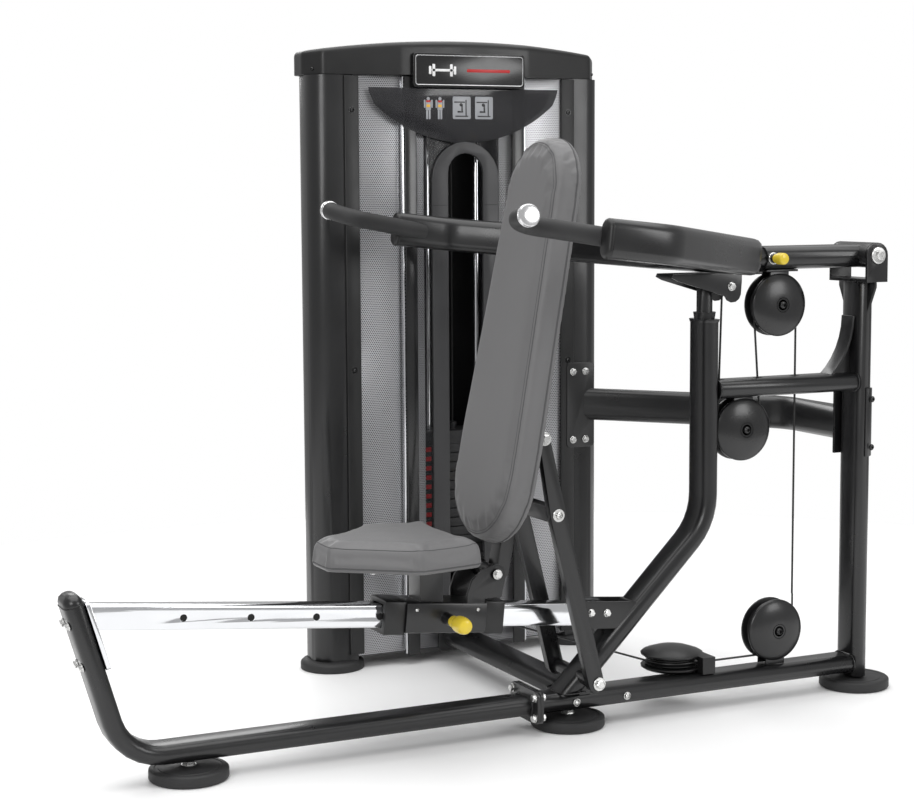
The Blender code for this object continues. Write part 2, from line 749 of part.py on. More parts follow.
def build_cable(paint, tower_run, arm):
    """The steel cable in stretches: tower to floor, round the pulleys and up to the arm."""
    r = PULLEY_GROOVE
    exit_point = tower_run[-1]
    touch = tangent_point(FLOOR_PULLEY, r, exit_point, 1)
    start_angle = math.degrees(math.atan2(touch.y - FLOOR_PULLEY.y, touch.x - FLOOR_PULLEY.x))
    z = FLOOR_PULLEY.z
    run = tower_run + [touch]
    run += [Vector((x, y, z)) for x, y in arc(FLOOR_PULLEY, r, start_angle % 360, 270, 5)[1:]]
    run += [Vector((x, 0.0, height)) for x, height in arc((LOW_PULLEY.x, LOW_PULLEY.z), r, 270, 360, 6)]
    run.append(Vector((LOW_PULLEY.x + r, 0.0, 0.245)))
    keep(round_tube(run, CABLE_RADIUS, 1), "cable_low_run", paint["cable"])
    riser_x = ARM_PULLEY.x + r
    riser = round_tube([(riser_x, 0, 0.2453), (riser_x, 0, ARM_PULLEY.z - GAP)], CABLE_RADIUS, 1)
    keep(riser, "cable_riser", paint["cable"], arm)
    over = [Vector((x, 0.0, height)) for x, height in arc((ARM_PULLEY.x, ARM_PULLEY.z), r, 0, 180, 10)]
    keep(round_tube(over, CABLE_RADIUS, 1), "cable_over_arm", paint["cable"], arm)
    drop_top = Vector((ARM_PULLEY.x - r, 0, ARM_PULLEY.z - 2 * GAP))
    drop_low = Vector((MID_PULLEY.x + r, 0, MID_PULLEY.z + 2 * GAP))
    keep(round_tube([drop_low, drop_top], CABLE_RADIUS, 1), "cable_drop", paint["cable"], arm)
    under = [Vector((x, 0.0, height)) for x, height in arc((MID_PULLEY.x, MID_PULLEY.z), r, 0, -180, 10)]
    keep(round_tube(under, CABLE_RADIUS, 1), "cable_mid_turn", paint["cable"])
    lift_low = Vector((MID_PULLEY.x - r, 0, MID_PULLEY.z + 2 * GAP))
    lift_top = Vector((ANCHOR.x - 0.002, 0, ANCHOR.z - 0.010))
    keep(round_tube([lift_low, lift_top], CABLE_RADIUS, 1), "cable_lift", paint["cable"], arm)


# ---------------------------------------------------------------- press arm
def build_arm(paint):
    """The pivoting sleeve with its pulley, cable anchor and the telescoping yoke."""
    arm = joint_empty("press_arm_axis", PIVOT)
    rear = PIVOT.x - 0.010
    sleeve = section_tube([(SLEEVE_FRONT, ARM_Z), (rear, ARM_Z)], TUBE_WIDE, SLEEVE_TALL)
    bore = section_tube([(SLEEVE_FRONT - 0.01, ARM_Z), (0.735, ARM_Z)],
                        INNER_WIDE + 2 * ARM_CLEAR, INNER_TALL + 2 * ARM_CLEAR)
    hub = rod((PIVOT.x, -HUB_HALF, PIVOT.z), (PIVOT.x, HUB_HALF, PIVOT.z), HUB_RADIUS, 28)
    pin_hole = rod((PIVOT.x, -0.1, PIVOT.z), (PIVOT.x, 0.1, PIVOT.z), PIN_RADIUS + PIN_CLEAR, 24)
    pin_x = SLEEVE_FRONT + 0.012
    boss = rod((pin_x, -TUBE_WIDE / 2 - 0.012, ARM_Z), (pin_x, -TUBE_WIDE / 2 + 0.01, ARM_Z), 0.011, 16)
    pop_hole = rod((pin_x, -0.09, ARM_Z), (pin_x, -0.033, ARM_Z), 0.0055, 12)
    sleeve = cut(join(sleeve, hub, boss), bore, pin_hole, pop_hole)
    keep(sleeve, "arm_sleeve", paint["frame"], arm)

    pulley_axis = joint_empty("arm_pulley_axis", ARM_PULLEY, arm)
    build_pulley("arm_pulley", ARM_PULLEY, (0, 1, 0), paint, pulley_axis)
    guard = pulley_guard(ARM_PULLEY, (0, 1, 0))
    top = ARM_Z - SLEEVE_TALL / 2 - GAP
    for side in (-1, 1):
        ends = sorted((side * TAB_INNER, side * TAB_OUTER))
        tab = box((ARM_PULLEY.x - 0.028, ends[0], ARM_PULLEY.z + 0.03), (ARM_PULLEY.x + 0.028, ends[1], top))
        guard = join(guard, tab)
    shoe = box((ARM_PULLEY.x - 0.040, -0.024, top - 0.005), (ARM_PULLEY.x + 0.048, 0.024, top))
    guard = join(guard, shoe)
    strap_low = ARM_Z + YOKE_LIFT - YOKE_TALL / 2 - 0.007
    strap = box((0.300, -0.020, strap_low), (SLEEVE_FRONT - GAP, 0.020, strap_low + 0.006))
    lower = [
        (0.250, strap_low + 0.006),
        (0.246, strap_low - 0.002),
        (0.262, strap_low - 0.010),
        (0.385, 0.962),
    ]
    lower += arc((0.408, 0.968), 0.022, 200, 350, 5)
    lower += [(0.432, 0.995), (0.432, strap_low + 0.006)]
    cheeks = []
    for side in (-1, 1):
        cheeks.append(plate(lower, 0.006, "XZ", side * 0.034))
    bridge = box((0.300, -0.036, strap_low), (0.315, 0.036, strap_low + 0.006))
    rear_bridge = box((0.412, -0.036, strap_low), (0.430, 0.036, strap_low + 0.006))
    bolt = rod((ANCHOR.x, -0.036, ANCHOR.z), (ANCHOR.x, 0.036, ANCHOR.z), 0.006, 12)
    anchor = join(strap, bridge, rear_bridge, *cheeks)
    keep(join(anchor, bolt), "cable_anchor_bracket", paint["frame"], arm)
    keep(guard, "arm_pulley_guard", paint["plastic"], arm)
    return arm, pin_x


def build_yoke(paint, arm, pin_x):
    """The sliding inner tube, the bent yoke and the two handles."""
    slide = joint_empty("arm_extension_axis", (pin_x, 0.0, ARM_Z), arm)
    inner = section_tube([(YOKE_REAR_X, ARM_Z), (0.700, ARM_Z)], INNER_WIDE, INNER_TALL)
    hole = rod((pin_x, -0.06, ARM_Z), (pin_x, -0.025, ARM_Z), 0.0052, 12)
    holes = [hole]
    for step in (1, 2):
        x = pin_x + 0.05 * step
        holes.append(rod((x, -0.06, ARM_Z), (x, -0.025, ARM_Z), 0.0052, 12))
    lift = Matrix.Translation((YOKE_REAR_X, 0, ARM_Z + YOKE_LIFT)) @ Matrix.Rotation(YOKE_RISE, 4, "Y")
    flat = lift @ Matrix.Translation((-YOKE_REAR_X, 0, 0))
    half_path = [
        (YOKE_FRONT_X, -YOKE_HALF),
        (YOKE_BEND_X, -YOKE_HALF),
        (YOKE_REAR_X, -YOKE_REAR_HALF),
        (YOKE_REAR_X, YOKE_REAR_HALF),
        (YOKE_BEND_X, YOKE_HALF),
        (YOKE_FRONT_X, YOKE_HALF),
    ]
    yoke = section_tube(rounded(half_path, 0.09, 4), YOKE_TALL, YOKE_THIN, "XY", 0.0, flat)
    yoke = join(yoke, cut(inner, *holes))
    keep(yoke, "press_yoke", paint["frame"], slide)
    inner_face = YOKE_HALF - YOKE_THIN / 2
    foot_x = -0.125
    foot_z = ARM_Z + YOKE_LIFT + (YOKE_REAR_X - foot_x) * math.sin(YOKE_RISE)
    handle_z = 1.158
    for name, side in (("left_handle", 1), ("right_handle", -1)):
        foot = Vector((foot_x, side * (inner_face + 0.012), foot_z))
        bend = Vector((HANDLE_X, side * 0.415, handle_z - 0.012))
        end = Vector((HANDLE_X, side * 0.500, handle_z))
        handle = round_tube(rounded([foot, bend, end], HANDLE_BEND, 5), GRIP_RADIUS, 3)
        keep_out = section_tube(rounded(half_path, 0.09, 4), YOKE_TALL + 0.0006, YOKE_THIN + 0.0006,
                                "XY", 0.0, flat)
        handle = cut(handle, keep_out)
        handle = largest_piece(handle)
        profile = [(0.0, 0.014), (0.019, 0.014), (CAP_RADIUS, 0.011), (CAP_RADIUS, 0.0), (0.0, 0.0)]
        outwards = (end - bend).normalized()
        cap = turned(profile, end - outwards * 0.001, outwards, 20)
        keep(join(handle, cap), name, paint["rubber"], slide)


def largest_piece(thing):
    """Keeps only the biggest loose part of a mesh."""
    bm = bmesh.new()
    bm.from_mesh(thing.data)
    left = set(bm.verts)
    groups = []
    while left:
        stack = [left.pop()]
        group = set(stack)
        while stack:
            for edge in stack.pop().link_edges:
                for vert in edge.verts:
                    if vert in left:
                        left.discard(vert)
                        group.add(vert)
                        stack.append(vert)
        groups.append(group)
    biggest = max(groups, key=len)
    bmesh.ops.delete(bm, geom=[vert for vert in bm.verts if vert not in biggest], context="VERTS")
    bm.to_mesh(thing.data)
    bm.free()
    return thing


def pop_pin(centre, depth, knob_start, knob_radius, collar, knob_length):
    """A spring pin along Y: shank, collar and round knob, pulled towards -Y."""
    profile = [
        (0.0, depth),
        (0.0045, depth),
        (0.0045, -knob_start),
        (knob_radius * 0.68, -knob_start),
        (knob_radius * 0.68, -knob_start - collar),
        (knob_radius, -knob_start - collar - 0.003),
        (knob_radius, -knob_start - knob_length + 0.003),
        (knob_radius * 0.75, -knob_start - knob_length),
        (0.0, -knob_start - knob_length),
    ]
    return turned(profile, centre, (0, 1, 0), 20)


# ---------------------------------------------------------------- rail, seat and back
RAIL = Matrix.Translation(RAIL_POINT) @ Matrix.Rotation(RAIL_PITCH, 4, "Y")


def along(x):
    """Distance along the rail of a world X on its centreline."""
    return (x - RAIL_POINT.x) / math.cos(RAIL_PITCH)


def rail_point(x, y=0.0, up=0.0):
    """A world point at X along the rail, set off sideways and upwards."""
    return RAIL @ Vector((along(x), y, up))


def build_rail(paint):
    """The chromed square rail with its locating holes and end brackets."""
    half = RAIL_SIDE / 2
    rail = rounded_box((along(RAIL_FRONT), -half, -half), (along(RAIL_REAR), half, half), 0.004, "YZ", 2)
    move(rail, RAIL)
    holes = []
    for step in range(HOLE_COUNT):
        x = SEAT_HOLE_X - step * HOLE_STEP
        holes.append(rod(rail_point(x, -0.04), rail_point(x, -0.008), HOLE_RADIUS, 12))
    lean = (Vector(FRONT_TOP) - Vector((FRONT_CORNER_X, BASE_Z))).normalized()
    angle = math.atan2(lean.x, lean.y)
    shift = Matrix.Translation((FRONT_TOP[0], 0.0, FRONT_TOP[1])) @ Matrix.Rotation(angle, 4, "Y")
    face = TUBE_THIN / 2 + GAP
    end_plate = rounded_box((face, -0.036, -0.150), (face + 0.009, 0.036, -0.004), 0.008, "YZ")
    move(end_plate, shift)
    rail = trim(rail, shift @ Vector((face + 0.005, 0, 0)), shift.to_3x3() @ Vector((-1, 0, 0)))
    keep(cut(join(rail, end_plate), *holes), "seat_rail", paint["chrome"])


def rail_rear_bracket():
    """The fork, welded to the post, that takes the rear end of the rail."""
    half = RAIL_SIDE / 2

    outline = [rail_point(0.012, 0, -0.031), rail_point(0.012, 0, 0.031)]
    top, low = rail_point(0.16, 0, 0.031), rail_point(0.10, 0, -0.031)
    outline = [(point.x, point.z) for point in (outline[0], low, top, outline[1])]
    outline[1] = (post_front_at(low.z) + 0.004, low.z)
    outline[2] = (post_front_at(top.z) + 0.004, top.z)
    cheeks = []
    for side in (-1, 1):
        cheeks.append(plate(outline, 0.006, "XZ", side * (half + 0.0035)))
    bridge_outline = [
        (post_front_at(low.z) - 0.008, low.z),
        (post_front_at(low.z) + 0.004, low.z),
        (post_front_at(top.z) + 0.004, top.z),
        (post_front_at(top.z) - 0.008, top.z),
    ]
    bridge = plate(bridge_outline, 2 * half + 0.008)
    return join(bridge, *cheeks)


def build_carriage(paint):
    """The sliding carriage: housing, end guides, hinge ears and seat post."""
    carriage = joint_empty("seat_carriage_axis", rail_point(SEAT_HOLE_X))
    half = RAIL_SIDE / 2 + 0.0008
    shell_low = (along(CARRIAGE_FRONT), -CARRIAGE_HALF, -0.033)
    shell = rounded_box(shell_low, (along(CARRIAGE_REAR), CARRIAGE_HALF, 0.033), 0.004, "YZ", 2)
    tunnel = box((along(CARRIAGE_FRONT) - 0.1, -half, -half), (along(CARRIAGE_REAR) + 0.1, half, half))
    pin_hole = rod((along(SEAT_HOLE_X), -0.1, 0), (along(SEAT_HOLE_X), -0.02, 0), 0.0055, 12)
    boss_end = (along(SEAT_HOLE_X), -CARRIAGE_HALF - PIN_BOSS, 0)
    boss = rod(boss_end, (along(SEAT_HOLE_X), -CARRIAGE_HALF + 0.004, 0), 0.013, 16)
    shell = move(cut(join(shell, boss), tunnel, pin_hole), RAIL)
    ears = []
    for side in (-1, 1):
        outline = [(-0.273, 0.300), (-0.231, 0.300), (-0.231, 0.322), (-0.190, 0.322)]
        outline.append((HINGE.x + 0.022, HINGE.z - 0.012))
        outline += arc((HINGE.x, HINGE.z), 0.022, 0, 110, 6)
        outline += [(-0.240, 0.384), (-0.262, 0.364), (-0.273, 0.335)]
        ears.append(plate(outline, 0.006, "XZ", side * 0.0435))
    post_low = rail_point(-0.35, 0, 0.030).z
    seat_under = SEAT_LOW - GAP
    post = box((-0.378, -0.030, post_low), (-0.323, 0.030, seat_under - 0.004))
    top_plate = box((-0.520, -0.060, seat_under - 0.006), (-0.300, 0.060, seat_under))
    hole = rod((HINGE.x, -0.1, HINGE.z), (HINGE.x, 0.1, HINGE.z), 0.0085, 16)
    carriage_body = cut(join(shell, post, top_plate, *ears), hole)
    keep(carriage_body, "seat_carriage", paint["frame"], carriage)
    guides = (
        ("carriage_guide_front", CARRIAGE_FRONT - 0.048, CARRIAGE_FRONT - GAP),
        ("carriage_guide_rear", CARRIAGE_REAR + GAP, CARRIAGE_REAR + 0.046),
    )
    for name, first, last in guides:
        guide = rounded_box((along(first), -0.043, -0.038), (along(last), 0.043, 0.036), 0.005, "YZ", 2)
        tunnel = box((along(first) - 0.1, -half, -half), (along(last) + 0.1, half, half))
        keep(move(cut(guide, tunnel), RAIL), name, paint["plastic"], carriage)
    pin_axis = joint_empty("seat_pin_axis", rail_point(SEAT_HOLE_X), carriage)
    reach = CARRIAGE_HALF + PIN_BOSS + 0.0005
    pin = pop_pin((0, 0, 0), -RAIL_SIDE / 2 - 0.0006, reach, 0.0185, 0.022, 0.065)
    move(pin, RAIL @ Matrix.Translation((along(SEAT_HOLE_X), 0, 0)))
    keep(pin, "seat_pin", paint["yellow"], pin_axis)
    seat_outline = rounded([
        (SEAT_REAR, -SEAT_HALF),
        (SEAT_REAR, SEAT_HALF),
        (SEAT_SIDE_FRONT, SEAT_HALF),
        (SEAT_TIP, 0.050),
        (SEAT_TIP, -0.050),
        (SEAT_SIDE_FRONT, -SEAT_HALF),
    ], 0.022, 3, closed=True)
    levels = [(SEAT_LOW, 0.006), (SEAT_LOW + 0.006, 0.0), (SEAT_TOP - 0.018, 0.002),
              (SEAT_TOP - 0.006, 0.010), (SEAT_TOP, 0.030)]
    keep(tiered(seat_outline, levels), "seat_pad", paint["vinyl"], carriage)
    return carriage


def back_frame():
    """Local axes of the back at its hinge: X rearwards, Z up along the back."""
    lean = math.pi / 2 - BACK_TILT
    return Matrix.Translation(HINGE) @ Matrix.Rotation(lean, 4, "Y")


def build_back(paint, carriage):
    """The reclining back: spine, hinge barrels, mounting plate and pad."""
    back = joint_empty("backrest_axis", HINGE, carriage)
    place = back_frame()
    spine = box((BACK_REAR + 0.0045, -0.022, -0.004), (BACK_REAR + 0.0345, 0.022, 0.640))
    barrel = rod((0, -0.0400, 0), (0, 0.0400, 0), 0.017, 20)
    neck = box((0.0, -0.022, -0.010), (BACK_REAR + 0.03, 0.022, 0.012))
    backing = rounded_box((BACK_REAR + GAP, -0.082, 0.120), (BACK_REAR + 0.0053, 0.082, 0.860), 0.03, "YZ")
    pin = rod((0, -0.0525, 0), (0, 0.0525, 0), 0.0080, 16)
    spine = join(spine, neck, barrel, backing, pin)
    move(spine, place)
    cross = rod(STRUT_TOP - Vector((0, 0.0835, 0)), STRUT_TOP + Vector((0, 0.0835, 0)), 0.011, 16)
    keep(join(spine, cross), "backrest_frame", paint["frame"], back)
    low, high = 0.062, 0.958
    upper, lower = 0.125, 0.150
    outline = arc((0, high - upper), upper, 0, 180, 12)
    outline.append((-lower, low + 0.230))
    outline += arc((0, low + lower), lower, 185, 355, 10)
    outline.append((lower, low + 0.230))
    levels = [(BACK_FRONT, 0.028), (BACK_FRONT + 0.006, 0.010), (BACK_FRONT + 0.018, 0.0),
              (BACK_REAR - 0.006, 0.0), (BACK_REAR, 0.005)]
    pad = tiered(outline, levels)
    stand = Matrix(((0, 0, 1, 0), (-1, 0, 0, 0), (0, 1, 0, 0), (0, 0, 0, 1)))
    keep(move(pad, place @ stand), "backrest_pad", paint["vinyl"], back)


def build_struts(paint):
    """The recline link: two bent bars, their cross bar and the fixed foot tube."""
    strut = joint_empty("strut_axis", STRUT_FOOT)
    half = STRUT_WIDE / 2
    foot = Vector((STRUT_FOOT.x - 0.006, STRUT_FOOT.z))
    bend = Vector((STRUT_BEND.x, STRUT_BEND.z))
    top = Vector((STRUT_TOP.x, STRUT_TOP.z))
    lower = (bend - foot).normalized()
    upper = (top - bend).normalized()
    side_low = Vector((lower.y, -lower.x))
    side_up = Vector((upper.y, -upper.x))
    slim = 0.013
    foot_angle = math.degrees(math.atan2(side_low.y, side_low.x))
    outline = arc(foot, half, foot_angle, foot_angle - 180, 6)
    outline += [bend - side_low * half]
    top_angle = math.degrees(math.atan2(side_up.y, side_up.x))
    outline += arc(top, slim, top_angle + 180, top_angle, 6)
    outline += [bend + side_low * half]
    hole_end = Vector((0.0, 0.2, 0.0))
    foot_hole = rod(STRUT_FOOT - hole_end, STRUT_FOOT + hole_end, 0.0085, 16)
    bars = []
    for side in (-1, 1):
        bar = plate(outline, STRUT_THICK, "XZ", side * STRUT_Y)
        bars.append(bar)
    inner = STRUT_Y - STRUT_THICK / 2 + 0.001
    low = STRUT_BEND - Vector((0.016, inner, 0.016))
    high = STRUT_BEND + Vector((0.016, inner, 0.016))
    link_frame = cut(join(box(low, high), *bars), foot_hole)
    keep(link_frame, "recline_strut", paint["frame"], strut)


# ---------------------------------------------------------------- weight tower
def build_tower(paint):
    """Columns, panels, cover, cap, guide rods, the weights and the pulleys inside."""
    for name, side in (("tower_left_column", -1), ("tower_right_column", 1)):
        outer, inner = side * TOWER_HALF, side * (COLUMN_HALF_IN + GAP)
        corners = [(inner, TOWER_FRONT), (outer, TOWER_FRONT), (outer, TOWER_BACK), (inner, TOWER_BACK)]
        reach = 0.045
        outline = [Vector(corners[0])]
        outline += arc((outer - side * reach, TOWER_FRONT + reach), reach,
                       -90, -90 + side * 90, 4)
        outline += arc((outer - side * reach, TOWER_BACK - reach), reach,
                       90 - side * 90, 90, 4)
        outline.append(Vector(corners[3]))
        low, high = TOWER_LOW, CAP_LOW - GAP
        column = plate(outline, high - low, "XY", (high + low) / 2)
        move(column, Matrix.Translation((TOWER_X, 0, 0)))
        keep(join(column, tower_foot(side)), name, paint["frame"])
    low, high = 0.034, CAP_LOW - GAP
    half = COLUMN_HALF_IN
    panel_low = (TOWER_X - half, TOWER_FRONT + 0.002, low)
    panel = box(panel_low, (TOWER_X + half, TOWER_FRONT + 0.006, high))
    window = box((TOWER_X - 0.105, 0.6, 0.1), (TOWER_X + 0.105, 0.8, 1.40))
    exit_gap = box((TOWER_X - 0.045, 0.6, 0.085), (TOWER_X + 0.045, 0.8, 0.2))
    keep(cut(panel, join(window, exit_gap)), "front_panel", paint["silver"])
    cover_low = (TOWER_X - PANEL_HALF_IN, COVER_FRONT, TOWER_LOW)
    cover = box(cover_low, (TOWER_X + PANEL_HALF_IN, COVER_FRONT + 0.012, high))
    slot = [(TOWER_X - SLOT_HALF, 0.050), (TOWER_X + SLOT_HALF, 0.050)]
    slot += arc((TOWER_X, SLOT_TOP - SLOT_HALF), SLOT_HALF, 0, 180, 10)
    opening = plate(slot, 0.2, "XZ", -COVER_FRONT)
    keep(cut(cover, opening), "front_cover", paint["clear"])
    ring = [(TOWER_X - BEZEL_HALF, 0.110), (TOWER_X + BEZEL_HALF, 0.110)]
    ring += arc((TOWER_X, BEZEL_TOP - BEZEL_HALF), BEZEL_HALF, 0, 180, 12)
    bezel = plate(ring, 0.009, "XZ", -(COVER_FRONT - 0.0048))
    slot_low = [(TOWER_X - SLOT_HALF, 0.000), (TOWER_X + SLOT_HALF, 0.000)]
    slot_low += arc((TOWER_X, SLOT_TOP - SLOT_HALF), SLOT_HALF, 0, 180, 10)
    keep(cut(bezel, plate(slot_low, 0.2, "XZ", -COVER_FRONT)), "slot_bezel", paint["plastic"])
    sign = rounded_box((TOWER_X - 0.148, 0.6535, 1.457), (TOWER_X + 0.160, 0.6615, 1.541), 0.008, "XZ")
    keep(sign, "sign_plate", paint["plastic"])
    cap_front = 0.664
    outline = [
        (TOWER_X - TOWER_HALF - 0.004, 0.745),
        (TOWER_X - 0.372, 0.694),
        (TOWER_X - 0.300, 0.683),
        (TOWER_X - 0.175, cap_front),
        (TOWER_X + 0.175, cap_front),
        (TOWER_X + 0.300, 0.683),
        (TOWER_X + 0.372, 0.694),
        (TOWER_X + TOWER_HALF + 0.004, 0.745),
        (TOWER_X + TOWER_HALF + 0.004, 0.800),
        (TOWER_X + 0.350, 0.850),
        (TOWER_X + 0.240, 0.884),
        (TOWER_X - 0.240, 0.884),
        (TOWER_X - 0.350, 0.850),
        (TOWER_X - TOWER_HALF - 0.004, 0.800),
    ]
    crown = [(CAP_LOW, 0.0), (CAP_LOW + 0.045, 0.0), (CAP_TOP - 0.012, 0.012), (CAP_TOP, 0.055)]
    cap = tiered(outline, crown)
    keep(cap, "tower_cap", paint["plastic"])
    shroud_outer = [
        (TOWER_X - COLUMN_HALF_IN, 0.815),
        (TOWER_X - 0.225, 0.878),
        (TOWER_X + 0.225, 0.878),
        (TOWER_X + COLUMN_HALF_IN, 0.815),
    ]
    shroud_inner = [
        (TOWER_X + COLUMN_HALF_IN - 0.004, 0.8115),
        (TOWER_X + 0.223, 0.874),
        (TOWER_X - 0.223, 0.874),
        (TOWER_X - COLUMN_HALF_IN + 0.004, 0.8115),
    ]
    shroud = plate(shroud_outer + shroud_inner, high - TOWER_LOW, "XY", (high + TOWER_LOW) / 2)
    keep(shroud, "rear_shroud", paint["frame"])
    base_low = 0.030
    left, right = TOWER_X - COLUMN_HALF_IN + GAP, TOWER_X + COLUMN_HALF_IN - GAP
    near = TOWER_FRONT + 0.008
    base = box((left, near, base_low), (right, 0.800, base_low + 0.050))
    rod_low, rod_high = base_low + 0.050 + GAP, CAP_LOW - 0.030
    header = box((left, near, rod_high + GAP), (right, 0.800, CAP_LOW - GAP))
    for name, side in (("guide_rod_left", -1), ("guide_rod_right", 1)):
        x = TOWER_X + side * GUIDE_HALF
        guide = rod((x, STACK_MID, rod_low), (x, STACK_MID, rod_high), GUIDE_RADIUS, 12)
        keep(guide, name, paint["chrome"])
    return build_weights(paint, rod_low, base, header)


def stack_block(low, high, width=STACK_HALF):
    """A block of weight plates with clearance holes for the guide rods."""
    block = box((TOWER_X - width, STACK_FRONT, low), (TOWER_X + width, STACK_BACK, high))
    holes = []
    for side in (-1, 1):
        x = TOWER_X + side * GUIDE_HALF
        holes.append(rod((x, STACK_MID, low - 0.1), (x, STACK_MID, high + 0.1), GUIDE_RADIUS + 0.001, 12))
    return block, holes


def build_weights(paint, rod_low, base, header):
    """The resting plates, the lifted plates with their rod and pin, and the tower pulleys."""
    for side in (-1, 1):
        x = TOWER_X + side * GUIDE_HALF
        bumper = rod((x, STACK_MID, rod_low - 0.01), (x, STACK_MID, STACK_LOW - GAP), 0.020, 16)
        bore_low = (x, STACK_MID, rod_low - GAP / 2)
        bore = rod(bore_low, (x, STACK_MID, STACK_LOW + 0.1), GUIDE_RADIUS + 0.0005, 12)
        base = cut(join(base, bumper), bore)
    rest_top = STACK_LOW + PLATES_LEFT * PLATE_PITCH
    block, holes = stack_block(STACK_LOW, rest_top - GAP)
    centre = rod((TOWER_X, STACK_MID, STACK_LOW - 0.1), (TOWER_X, STACK_MID, rest_top + 0.1), 0.0125, 16)
    keep(cut(block, centre, *holes), "weight_stack", paint["iron"])
    lifted = joint_empty("weights_axis", (TOWER_X, STACK_MID, rest_top))
    top = rest_top + PLATES_LIFTED * PLATE_PITCH
    block, holes = stack_block(rest_top, top)
    head, head_holes = stack_block(top - 0.001, top + 0.032, STACK_HALF - 0.004)
    pin_z = rest_top + PLATE_PITCH / 2
    pin_hole = rod((TOWER_X, STACK_FRONT - 0.1, pin_z), (TOWER_X, STACK_BACK - 0.02, pin_z), 0.0052, 12)
    stem = rod((TOWER_X, STACK_MID, STACK_LOW + 0.02), (TOWER_X, STACK_MID, top + 0.050), 0.0110, 16)
    lifted_block = cut(join(cut(block, *holes), cut(head, *head_holes), stem), pin_hole)
    keep(lifted_block, "lifted_weights", paint["iron"], lifted)
    pin_axis = joint_empty("selector_pin_axis", (TOWER_X, STACK_FRONT, pin_z), lifted)
    profile = [
        (0.0, 0.060),
        (0.0045, 0.058),
        (0.0045, -0.0005),
        (0.008, -0.0005),
        (0.011, -0.006),
        (0.011, -0.022),
        (0.008, -0.026),
        (0.0, -0.026),
    ]
    pin = turned(profile, (TOWER_X, STACK_FRONT, pin_z), (0, 1, 0), 16)
    keep(pin, "selector_pin", paint["yellow"], pin_axis)

    r = TOWER_PULLEY_R
    rear_y = STACK_MID + 2 * r
    top_centre = Vector((TOWER_X, STACK_MID + r, TOWER_PULLEY_Z))
    run_start = Vector((TOWER_X, rear_y))
    goal = Vector((FLOOR_PULLEY.x - PULLEY_GROOVE, FLOOR_PULLEY.y))
    heading = (goal - run_start).normalized()
    low_flat = run_start + heading * r
    low_centre = Vector((low_flat.x, low_flat.y, FLOOR_PULLEY.z + r))
    low_axis = Vector((-heading.y, heading.x, 0.0))
    wheel_radius = r + PULLEY_RADIUS - PULLEY_GROOVE
    top_axis = joint_empty("tower_top_pulley_axis", top_centre)
    build_pulley("tower_top_pulley", top_centre, (1, 0, 0), paint, top_axis, wheel_radius)
    low_empty = joint_empty("tower_low_pulley_axis", low_centre)
    build_pulley("tower_low_pulley", low_centre, low_axis, paint, low_empty, wheel_radius)
    hanger = rod(top_centre - Vector((0.0175, 0, 0)), top_centre + Vector((0.0175, 0, 0)), AXLE_RADIUS)
    hang_top = CAP_LOW - 0.029
    for side in (-1, 1):
        ends = sorted((top_centre.x + side * 0.0115, top_centre.x + side * 0.0155))
        corner = (ends[0], top_centre.y - 0.020, top_centre.z - 0.015)
        cheek = box(corner, (ends[1], top_centre.y - 0.006, hang_top))
        wide = box(corner, (ends[1], top_centre.y + 0.020, top_centre.z + 0.015))
        hanger = join(hanger, cheek, wide)
    keep(join(header, hanger), "tower_header", paint["frame"])
    stand = rod(low_centre - low_axis * 0.0175, low_centre + low_axis * 0.0175, AXLE_RADIUS)
    turn = Matrix.Rotation(math.atan2(low_axis.y, low_axis.x), 4, "Z")
    for side in (-1, 1):
        ends = sorted((side * 0.0115, side * 0.0155))
        cheek = box((ends[0], -0.012, rod_low - 0.004 - low_centre.z), (ends[1], 0.012, 0.015))
        move(cheek, Matrix.Translation(low_centre) @ turn)
        stand = join(stand, cheek)
    keep(join(base, stand), "tower_base", paint["frame"])
    cable_ends = [(TOWER_X, STACK_MID, top + 0.0503), (TOWER_X, STACK_MID, TOWER_PULLEY_Z - 2 * GAP)]
    stack_cable = round_tube(cable_ends, CABLE_RADIUS, 1)
    keep(stack_cable, "cable_stack", paint["cable"], lifted)
    run = [Vector((TOWER_X, y, z)) for y, z in arc((top_centre.y, top_centre.z), r, 180, 0, 8)]
    drop = [low_centre + Vector((-heading.x * math.cos(a), -heading.y * math.cos(a), -math.sin(a))) * r
            for a in (math.radians(90 * step / 6) for step in range(7))]
    run += drop
    return run


def main():
    """Builds the whole machine."""
    start_scene()
    paint = make_materials()
    build_base(paint)
    build_feet(paint)
    build_posts(paint)
    build_clevis(paint)
    build_beam(paint)
    build_frame_pulleys(paint)
    arm, pin_x = build_arm(paint)
    build_yoke(paint, arm, pin_x)
    arm_pin = joint_empty("arm_pin_axis", (pin_x, 0.0, ARM_Z), arm)
    reach = TUBE_WIDE / 2 + 0.0125
    knob = pop_pin((pin_x, 0, ARM_Z), -INNER_WIDE / 2 - 0.0005, reach, 0.0135, 0.010, 0.036)
    keep(knob, "arm_pin", paint["yellow"], arm_pin)
    build_rail(paint)
    carriage = build_carriage(paint)
    build_back(paint, carriage)
    build_struts(paint)
    tower_run = build_tower(paint)
    build_cable(paint, tower_run, arm)


if __name__ == "__main__":
    main()
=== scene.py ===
"""The finished looks of a shoulder press machine, built around its fixed frame.

Metres, in the frame's own axes: -X is the user's front, +Y the side of the weight tower, +Z up.
Each sub-assembly is a class that builds its own pieces and dresses the frame's nodes it owns.
"""

import logging
import math
from collections.abc import Iterable, Sequence
from dataclasses import dataclass, field
from enum import Enum

import bmesh
import bpy
from mathutils import Matrix, Vector
from mathutils.bvhtree import BVHTree


